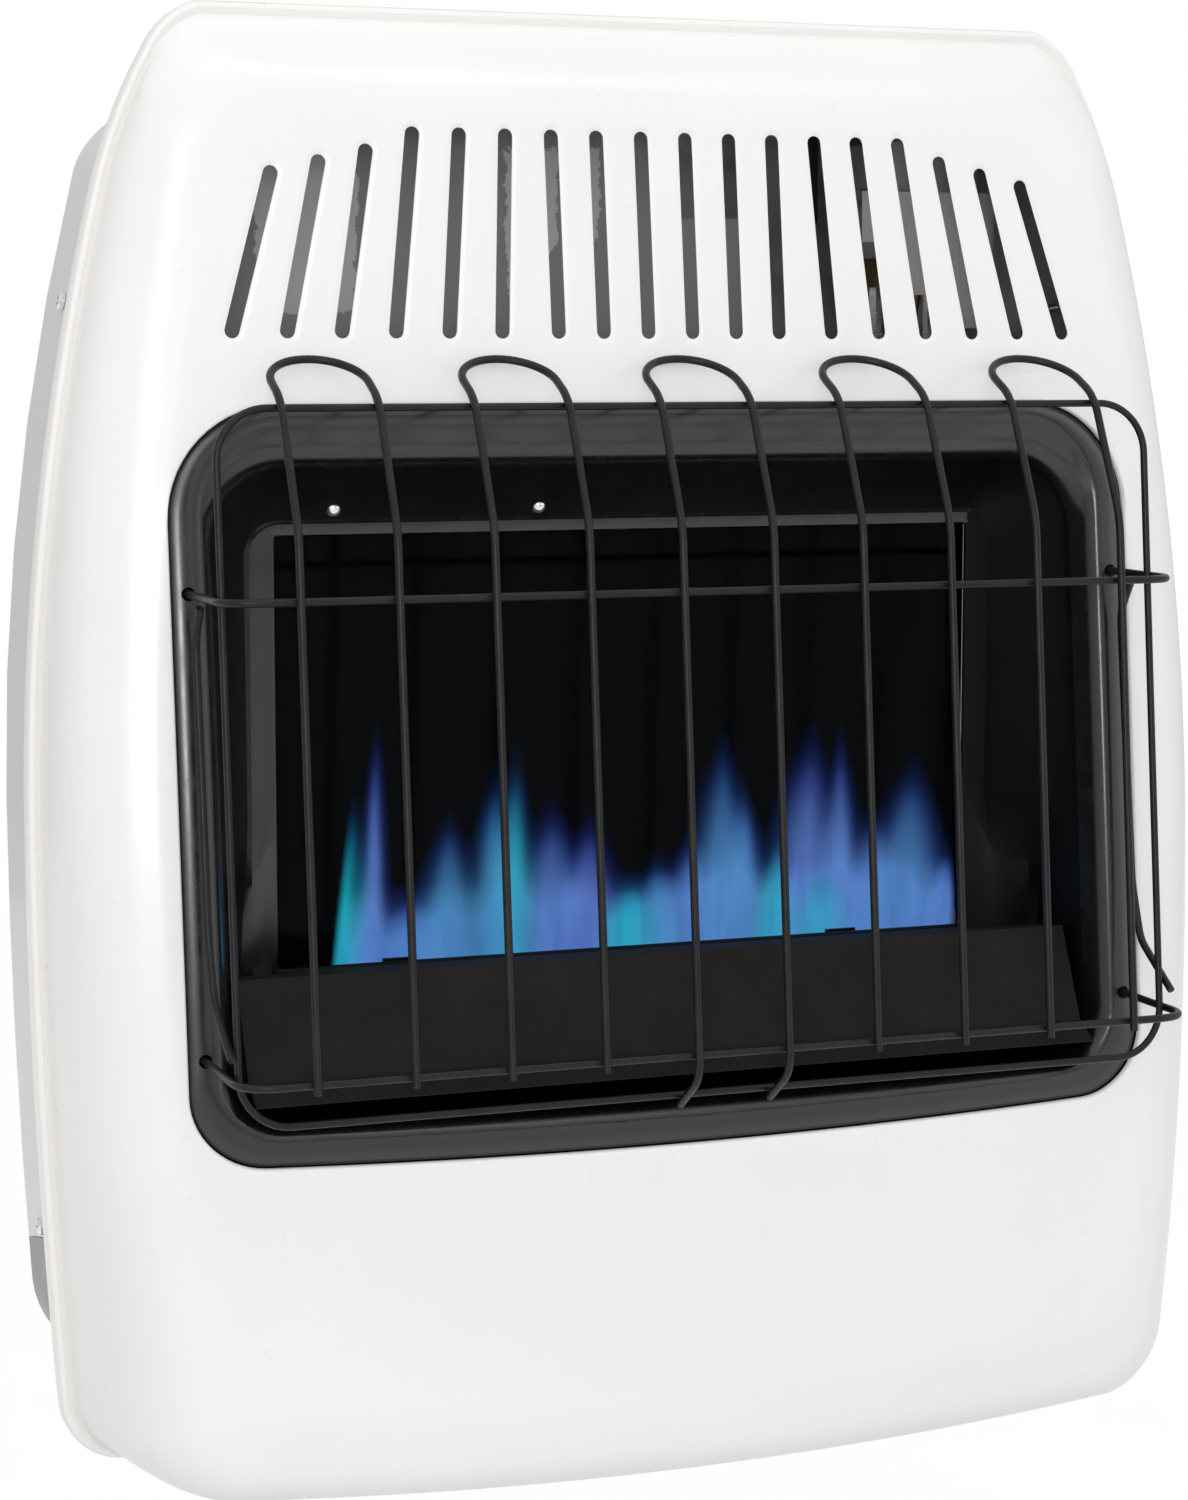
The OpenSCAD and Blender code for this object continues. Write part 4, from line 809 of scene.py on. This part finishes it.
def bore(obj, holes, r, y0, y1):
    """Applies the object's modifiers and makes round holes through it along Y."""
    sides = 28
    turns = [math.tau * k / sides for k in range(sides)]
    caps = [tuple(reversed(range(sides))), tuple(range(sides, 2 * sides))]
    points, faces = [], []
    for x, z in holes:
        rims = [((x + r * math.cos(a)) * MM, y * MM, (z + r * math.sin(a)) * MM)
                for y in (y0, y1) for a in turns]
        join(points, faces, rims, skin_faces(2, sides) + caps)
    mesh = bpy.data.meshes.new("drill")
    mesh.from_pydata(points, [], faces)
    drill = bpy.data.objects.new("drill", mesh)
    bpy.context.scene.collection.objects.link(drill)
    tidy_normals(drill)
    cut = obj.modifiers.new("holes", "BOOLEAN")
    cut.operation = "DIFFERENCE"
    cut.solver = "EXACT"
    cut.object = drill
    made = bpy.data.meshes.new_from_object(
        obj.evaluated_get(bpy.context.evaluated_depsgraph_get()))
    obj.modifiers.clear()
    obj.data = made
    bpy.data.objects.remove(drill)
    bpy.data.meshes.remove(mesh)


BLEND_STEPS = 4
flange_last = len(FLANGE_ROWS) - 1
loops = blend_loops(loops, 1, flange_last, BLEND_STEPS)
points = [p for loop in loops for p in loop]
surround = mesh_piece("window_surround_skin", points, skin_faces(len(loops), n), BLACK,
                      replaces=["window_surround"])
# The wall between the flange and the frame gets a darker, matt black, painted shade, and so
# does all that lies behind the panel or on the frame's right side
surround.data.materials.append(SHADE_BLACK)
wall_first = BLEND_STEPS * (flange_last - 1) - 1
wall_end = wall_first + len(WALL_ROWS) + 1
for face in surround.data.polygons:
    row = face.vertices[0] // n
    corners = [surround.data.vertices[i].co for i in face.vertices]
    low = max(co.z for co in corners) < WALL_FOOT * MM
    shaded_right_side = min(co.x for co in corners) > WIN_W / 2 * MM
    if wall_first <= row and (row < wall_end or low or shaded_right_side):
        face.material_index = 1
tidy_normals(surround)
solidify(surround, SURROUND_T)
# The guard's four legs pass through holes in the flange
LEG_HOLE_R, LEG_HOLE_Y = 2.7, (-200, -115)
bore(surround, [(s * LEG_X, z) for s in (-1, 1) for z in (UPPER_WIRE_Z, LOWER_WIRE_Z)],
     LEG_HOLE_R, *LEG_HOLE_Y)
shade(surround)

# ------------------------------------------------------------------ guard
# The ring's wire is a little thinner than the others in the photo
RING_D = 2.9
RING_HW = RING_W / 2
RING_BOTTOM = RING_TOP - RING_H


def ring_y(z):
    return -RING_OUT + RING_LEAN * (z - RING_TOP)


def bar_y(z):
    return -BAR_OUT + BAR_LEAN * (z - BAR_FOOT_Z)


flat = [p for cx, cz, start in (
            (RING_HW - RING_R, RING_BOTTOM + RING_R, -90),
            (RING_HW - RING_R, RING_TOP - RING_R, 0),
            (RING_R - RING_HW, RING_TOP - RING_R, 90),
            (RING_R - RING_HW, RING_BOTTOM + RING_R, 180))
        for p in arc(cx, cz, RING_R, start, start + 90, CORNER_N)]
wire("guard_ring_wire", [[(x, ring_y(z), z) for x, z in flat]], ["guard_ring"],
     closed=True, d=RING_D)

# The ways out from the ring's top and bottom wires to the wires that pass them, as (y, z)
OVER, UNDER = (-0.729, 0.685), (-0.66, -0.753)
CROSS_OUT, TAIL_PAST = WELD + 1.25, 2
# One side of a hairpin wire as (y, z) points, from its lower end to its crossing over the
# ring's top wire; only the middle hairpin runs back under the ring's bottom wire
CROSS = (-RING_OUT + CROSS_OUT * OVER[0], RING_TOP + CROSS_OUT * OVER[1])
BAR_BEND = OPEN_TOP - 46.5
SIDE = [(bar_y(BAR_FOOT_Z), BAR_FOOT_Z), (bar_y(BAR_BEND), BAR_BEND), CROSS]
TAIL = [(ring_y(RING_BOTTOM) + WELD * UNDER[0] - TAIL_PAST * UNDER[1],
         RING_BOTTOM + WELD * UNDER[1] + TAIL_PAST * UNDER[0]),
        (bar_y(BAR_FOOT_Z) - 0.4, BAR_FOOT_Z - 5)]
LOOP_N = 24


def hairpin(xc, tail):
    """Two uprights beside xc, and the loop over the ring that joins them."""
    r = BAR_PITCH / 2
    side = TAIL + SIDE[1:] if tail else SIDE
    c, s = math.cos(math.radians(LOOP_RISE)), math.sin(math.radians(LOOP_RISE))
    loop = []
    for k in range(LOOP_N + 1):
        a = math.pi * (1 - k / LOOP_N)
        along = LOOP_RUN - r + r * math.sin(a)
        loop.append((xc + r * math.cos(a), CROSS[0] + along * c, CROSS[1] + along * s))
    left = bent([(xc - r, y, z) for y, z in side] + [loop[0]], r=8)
    right = bent([(xc + r, y, z) for y, z in side] + [loop[-1]], r=8)
    return [tuple(p) for p in left] + loop[1:-1] + [tuple(p) for p in reversed(right)]


wire("guard_bar_wires", [hairpin(2 * k * BAR_PITCH, k == 0) for k in range(-2, 3)],
     ["guard_bars"])


def cross_wire(z):
    """A wire behind the uprights, with its legs' ends a little behind the flange."""
    front = bar_y(z) + WELD + 0.05
    end = face_y(LEG_X, z) + FLANGE_BACK + 7
    return bent([(-LEG_X, end, z), (-LEG_X, front, z), (LEG_X, front, z), (LEG_X, end, z)],
                r=15, n=14)


wire("guard_upper_cross_wire", [cross_wire(UPPER_WIRE_Z)], ["guard_upper_wire"])
wire("guard_lower_cross_wire", [cross_wire(LOWER_WIRE_Z)], ["guard_lower_wire"])
# The side braces as (y, z) points, from the upper leg down to the ring
BRACE = [(-150, UPPER_WIRE_Z - 4), (-142, -164), (-156, -277), (-164, -300), (-189.5, -317)]
wire("guard_brace_wires", [bent([(s * (RING_HW + WELD), y, z) for y, z in BRACE], r=5, n=6)
                           for s in (-1, 1)], ["guard_side_braces"])

# ------------------------------------------------------------------ dial and knob
# The foot of the marks, just inside the dial plate and just over the knob, and their height
DIAL_MARK_Z, KNOB_MARK_Z, MARK_T = DECK_Z + DIAL_T + JOINT_GAP - 0.05, 69.8, 0.12
# Ticks with numbers lie over the knob's turn, and the first one is at the front. Ticks and
# pointer have two distances from the knob's axis, and half their width
MARKS, TURN, FRONT = 9, 240.0, 270.0
TICK, TICK_HALF, DIGIT_R, DIGIT_SIZE = (20.5, 21.5), 0.22, 18.8, 2.7
POINTER, POINTER_HALF = (7.5, 15.8), 0.55
INK = moulded("mark_look", (0.03, 0.03, 0.03), 0.5, 0.00001)
PALE_INK = moulded("pointer_look", (0.82, 0.82, 0.80), 0.5, 0.00001)


def slab(bm, outline, z, turn):
    """A thin raised shape on the outline, in mm, turned about the knob's axis."""
    c, s = math.cos(turn), math.sin(turn)
    plan = [(KNOB_X + x * c - y * s, -CONTROL_OUT + x * s + y * c) for x, y in outline]
    low, top = [[bm.verts.new((x * MM, y * MM, h * MM)) for x, y in plan]
                for h in (z, z + MARK_T)]
    bm.faces.new(reversed(low))
    bm.faces.new(top)
    for i in range(len(plan)):
        j = (i + 1) % len(plan)
        bm.faces.new((low[i], low[j], top[j], top[i]))


def pill(x0, x1, half):
    """An outline of a bar along X with round ends."""
    return [(middle + half * math.cos(a), half * math.sin(a))
            for middle, start in ((x1 - half, -0.5), (x0 + half, 0.5))
            for a in (math.pi * (k / 8 + start) for k in range(9))]


def digit_mesh(text, size):
    curve = bpy.data.curves.new("digit", "FONT")
    curve.body, curve.size, curve.extrude = text, size * MM, MARK_T / 2 * MM
    curve.align_x, curve.align_y = "CENTER", "CENTER"
    curve.resolution_u = 4
    obj = bpy.data.objects.new("digit", curve)
    bpy.context.scene.collection.objects.link(obj)
    made = bpy.data.meshes.new_from_object(
        obj.evaluated_get(bpy.context.evaluated_depsgraph_get()))
    bpy.data.objects.remove(obj)
    bpy.data.curves.remove(curve)
    return made


def add_marks(name, bm, mat, body=BODY):
    mesh = bpy.data.meshes.new(name)
    bm.to_mesh(mesh)
    bm.free()
    add_object(name, mesh, mat, body=body)


bm = bmesh.new()
for k in range(MARKS):
    turn = math.radians(FRONT + TURN * k / (MARKS - 1))
    slab(bm, pill(*TICK, TICK_HALF), DIAL_MARK_Z, turn)
    digit = digit_mesh(str(k), DIGIT_SIZE)
    digit.transform(Matrix.Translation(((KNOB_X + DIGIT_R * math.cos(turn)) * MM,
                                        (-CONTROL_OUT + DIGIT_R * math.sin(turn)) * MM,
                                        (DIAL_MARK_Z + MARK_T / 2) * MM)))
    bm.from_mesh(digit)
    bpy.data.meshes.remove(digit)
add_marks("dial_marks", bm, INK)

bm = bmesh.new()
slab(bm, pill(*POINTER, POINTER_HALF), KNOB_MARK_Z, math.radians(FRONT))
add_marks("knob_pointer", bm, PALE_INK, "knob")

# ------------------------------------------------------------------ flames
# Tongues of the flame curtain: place along the burner, height of the tip, half width,
# lean, and share of blue in place of cyan
TONGUES = [
    (-113, -240, 9, 14, 0.0), (-101, -212, 5, 6, 0.75), (-88, -283, 16, 0, 0.6),
    (-72, -248, 9, 0, 0.5), (-50, -230, 9, 5, 0.45), (-43, -222, 6, 0, 0.15),
    (-27, -245, 13, 0, 0.7), (-7, -252, 11, 3, 0.8), (11, -280, 10, 0, 0.0),
    (23, -270, 9, 0, 0.45), (40, -262, 12, 8, 0.7), (51, -220, 9, 0, 0.55),
    (60, -240, 8, -2, 0.6), (77, -266, 9, 0, 0.05), (94, -219, 13, 5, 0.75),
    (101, -278, 9, 0, 0.0), (110, -221, 8, 2, 0.7), (126, -256, 12, 0, 0.65),
    (143, -235, 12, 3, 0.6), (158, -274, 6, 0, 0.7)]
FLAME_X, FLAME_Z, FLAME_OUT = (-124.0, 163.0), (-322.0, -200.0), 60
NX, NZ = 330, 110
# The foot of the tongues, and the top and the height of the even band of flame below them
TONGUE_FOOT, BAND_TOP, BAND_H = -318, -276, 30
# The width over which the curtain's ends fade, the lean of its left end, and the density
# below which it has no faces
END_FADE, END_LEAN, FAINTEST = 3, 0.1, 0.03


def flame_color(x, z):
    """Red, green, blue and density of the flame at a place on the curtain."""
    r = g = b = density = pulls = 0.0
    low = max(0.0, min(1.0, (BAND_TOP - z) / BAND_H))
    left = FLAME_X[0] + (z - FLAME_Z[0]) * END_LEAN
    edge = min(1.0, max(0.0, (x - left) / END_FADE), max(0.0, (FLAME_X[1] - x) / END_FADE))
    for cx, top, half, lean, blue in TONGUES:
        rise = (z - TONGUE_FOOT) / (top - TONGUE_FOOT)
        if rise > 1.12:
            continue
        mid = cx - lean * (1 - min(rise, 1))
        width = half * (1.25 - 0.95 * max(0, min(rise, 1)) ** 1.5)
        side = math.exp(-((x - mid) / width) ** 2)
        tip = 1 / (1 + math.exp((rise - 0.86) * 16))
        w = side * tip * (0.55 + 0.45 * (1 - min(1, max(0, rise))))
        tip_dark = 1 - 0.55 * ease((rise - 0.45) / 0.5)
        red = (0.01 + 0.17 * blue) * tip_dark
        green = (0.56 - 0.40 * blue) * tip_dark
        blu = (0.66 + 0.08 * blue) * (0.4 + 0.6 * tip_dark)
        pull = w * (2.6 - 1.9 * blue)
        r, g, b, pulls = r + pull * red, g + pull * green, b + pull * blu, pulls + pull
        density += w
    base = low * 0.55
    r, g, b, density = r + base * 0.10, g + base * 0.20, b + base * 0.66, density + base
    thick = ease(density / 0.75)
    scale = 1 / max(pulls + base, 1e-6)
    return (r * scale * (0.25 + 0.75 * thick), g * scale * (0.35 + 0.65 * thick),
            b * scale * (0.7 + 0.3 * thick), max(0.0, min(1.0, density * 0.95)) * edge)


def flame_look():
    look = Look("flame_look")
    look.nodes.remove(look.bsdf)
    tint = look.nodes.new("ShaderNodeAttribute")
    tint.attribute_name = "tongue_tint"
    streaks = look.ramp(look.noise(1.0, 3, stretch=(110, 40, 16)),
                        [(0.25, 0.72), (0.75, 1.12)])
    density = math_node(look.tree, "MULTIPLY", tint.outputs["Alpha"], streaks, clamp=True)
    glow = new_node(look.tree, "ShaderNodeEmission", Strength=0.98)
    look.links.new(tint.outputs["Color"], glow.inputs["Color"])
    clear = new_node(look.tree, "ShaderNodeBsdfTransparent")
    blend_shaders(look.tree, density, clear.outputs["BSDF"], glow.outputs["Emission"])
    return look.mat


points, colors = [], []
for j in range(NZ + 1):
    z = FLAME_Z[0] + (FLAME_Z[1] - FLAME_Z[0]) * j / NZ
    for i in range(NX + 1):
        x = FLAME_X[0] + (FLAME_X[1] - FLAME_X[0]) * i / NX
        y = -FLAME_OUT + 3 * math.sin(x / 17 + 1) + 2 * math.sin(x / 7 + z / 25)
        points.append((x, y, z))
        colors.append(flame_color(x, z))
faces = [f for f in skin_faces(NZ + 1, NX + 1, False)
         if max(colors[i][3] for i in f) > FAINTEST]
curtain = mesh_piece("flame_curtain", points, faces, flame_look())
layer = curtain.data.color_attributes.new("tongue_tint", "FLOAT_COLOR", "POINT")
layer.data.foreach_set("color", [c for color in colors for c in color])

# ------------------------------------------------------------------ camera
# As solved from the photo: the eye in metres, its turn in radians, and the lens in pixels
PHOTO_W, PHOTO_H = 1188, 1500
EYE, YAW, PITCH = (-0.501658, -1.370587, -0.055587), 0.357793, 0.117249
FOCAL_PX, CENTRE_PX = 3322.71, (583.016, 744.397)
SENSOR = 36
cam_data = bpy.data.cameras.new("photo_camera")
cam = bpy.data.objects.new("photo_camera", cam_data)
bpy.context.scene.collection.objects.link(cam)
forward = Vector((math.sin(YAW) * math.cos(PITCH), math.cos(YAW) * math.cos(PITCH),
                  -math.sin(PITCH)))
right = Vector((math.cos(YAW), -math.sin(YAW), 0))
up = right.cross(forward)
turn = Matrix((right, up, -forward)).transposed().to_4x4()
cam.matrix_world = Matrix.Translation(EYE) @ turn
cam_data.sensor_fit = "AUTO"
cam_data.sensor_width = SENSOR
cam_data.lens = FOCAL_PX * SENSOR / PHOTO_H
cam_data.shift_x = (PHOTO_W / 2 - CENTRE_PX[0]) / PHOTO_H
cam_data.shift_y = (CENTRE_PX[1] - PHOTO_H / 2) / PHOTO_H
cam_data.clip_start = 0.01
cam_data.clip_end = 50
bpy.context.scene.camera = cam


# ------------------------------------------------------------------ light and stage
def area(name, place, target, size, power):
    data = bpy.data.lights.new(name, "AREA")
    data.shape = "RECTANGLE"
    data.size, data.size_y = size
    data.energy = power
    light = bpy.data.objects.new(name, data)
    bpy.context.scene.collection.objects.link(light)
    light.location = place
    aim = Vector(target) - Vector(place)
    light.rotation_euler = aim.to_track_quat("-Z", "Y").to_euler()


MIDDLE = (0, -0.1, -0.2)
area("key_light", (-1.04, -2.75, 0.73), MIDDLE, (0.8, 2.0), 12)
area("front_light", (-0.53, -1.45, -0.02), (0, -0.1, -0.1), (0.22, 0.3), 2.4)
area("fill_light", (2.2, -1.8, 0.4), MIDDLE, (1.2, 2.0), 4)
area("top_light", (0.0, -0.8, 2.2), MIDDLE, (2.0, 1.2), 5)

world = bpy.data.worlds.new("studio")
bpy.context.scene.world = world
world.use_nodes = True
sky = world.node_tree
background = sky.nodes["Background"]
background.inputs["Color"].default_value = (1, 1, 1, 1)
sky_coord = sky.nodes.new("ShaderNodeTexCoord")


def across(direction, low, high):
    """A level that rises from low to high across the world in a direction."""
    lean = sky.nodes.new("ShaderNodeVectorMath")
    lean.operation = "DOT_PRODUCT"
    lean.inputs[1].default_value = direction
    sky.links.new(sky_coord.outputs["Generated"], lean.inputs[0])
    return map_range(sky, lean.outputs["Value"], From_Min=-0.7, From_Max=0.7,
                     To_Min=low, To_Max=high)


# The world is white where it is seen, and in reflections from above. It lights the object
# at a lower level, most of it from above, the left and the front
shiny = math_node(sky, "MULTIPLY", ray_is(sky, "Is Glossy Ray"),
                  across((0.30, -0.30, 0.90), 0.30, 1.0))
soft = across((-0.35, -0.50, 0.79), 0.38, 0.86)
seen = ray_is(sky, "Is Camera Ray", "Is Transmission Ray")
sky.links.new(math_node(sky, "MAXIMUM", seen, math_node(sky, "MAXIMUM", shiny, soft)),
              background.inputs["Strength"])

# A pale floor well below the heater, which hangs on a wall. It glows a little where it is
# seen, so that it goes over into the white world
FLOOR_Z, FLOOR_HALF, FLOOR_GLOW = -1.3, 6, 0.45
floor_mesh = bpy.data.meshes.new("floor")
floor_mesh.from_pydata([(x * FLOOR_HALF, y * FLOOR_HALF, FLOOR_Z)
                        for x, y in ((-1, -1), (1, -1), (1, 1), (-1, 1))], [],
                       [(0, 1, 2, 3)])
floor = bpy.data.objects.new("floor", floor_mesh)
bpy.context.scene.collection.objects.link(floor)
floor_look = Look("floor_look")
floor_look.tint(3, 0.64, 0.66)
floor_look.set(Roughness=0.6)
ground = floor_look.tree
glow = ground.nodes.new("ShaderNodeEmission")
lift = math_node(ground, "MULTIPLY",
                 ray_is(ground, "Is Camera Ray", "Is Glossy Ray", "Is Transmission Ray"),
                 FLOOR_GLOW)
ground.links.new(lift, glow.inputs["Strength"])
both = ground.nodes.new("ShaderNodeAddShader")
ground.links.new(floor_look.bsdf.outputs["BSDF"], both.inputs[0])
ground.links.new(glow.outputs["Emission"], both.inputs[1])
ground.links.new(both.outputs["Shader"], ground.nodes["Material Output"].inputs["Surface"])
floor_mesh.materials.append(floor_look.mat)

bpy.context.scene.view_settings.view_transform = "Standard"
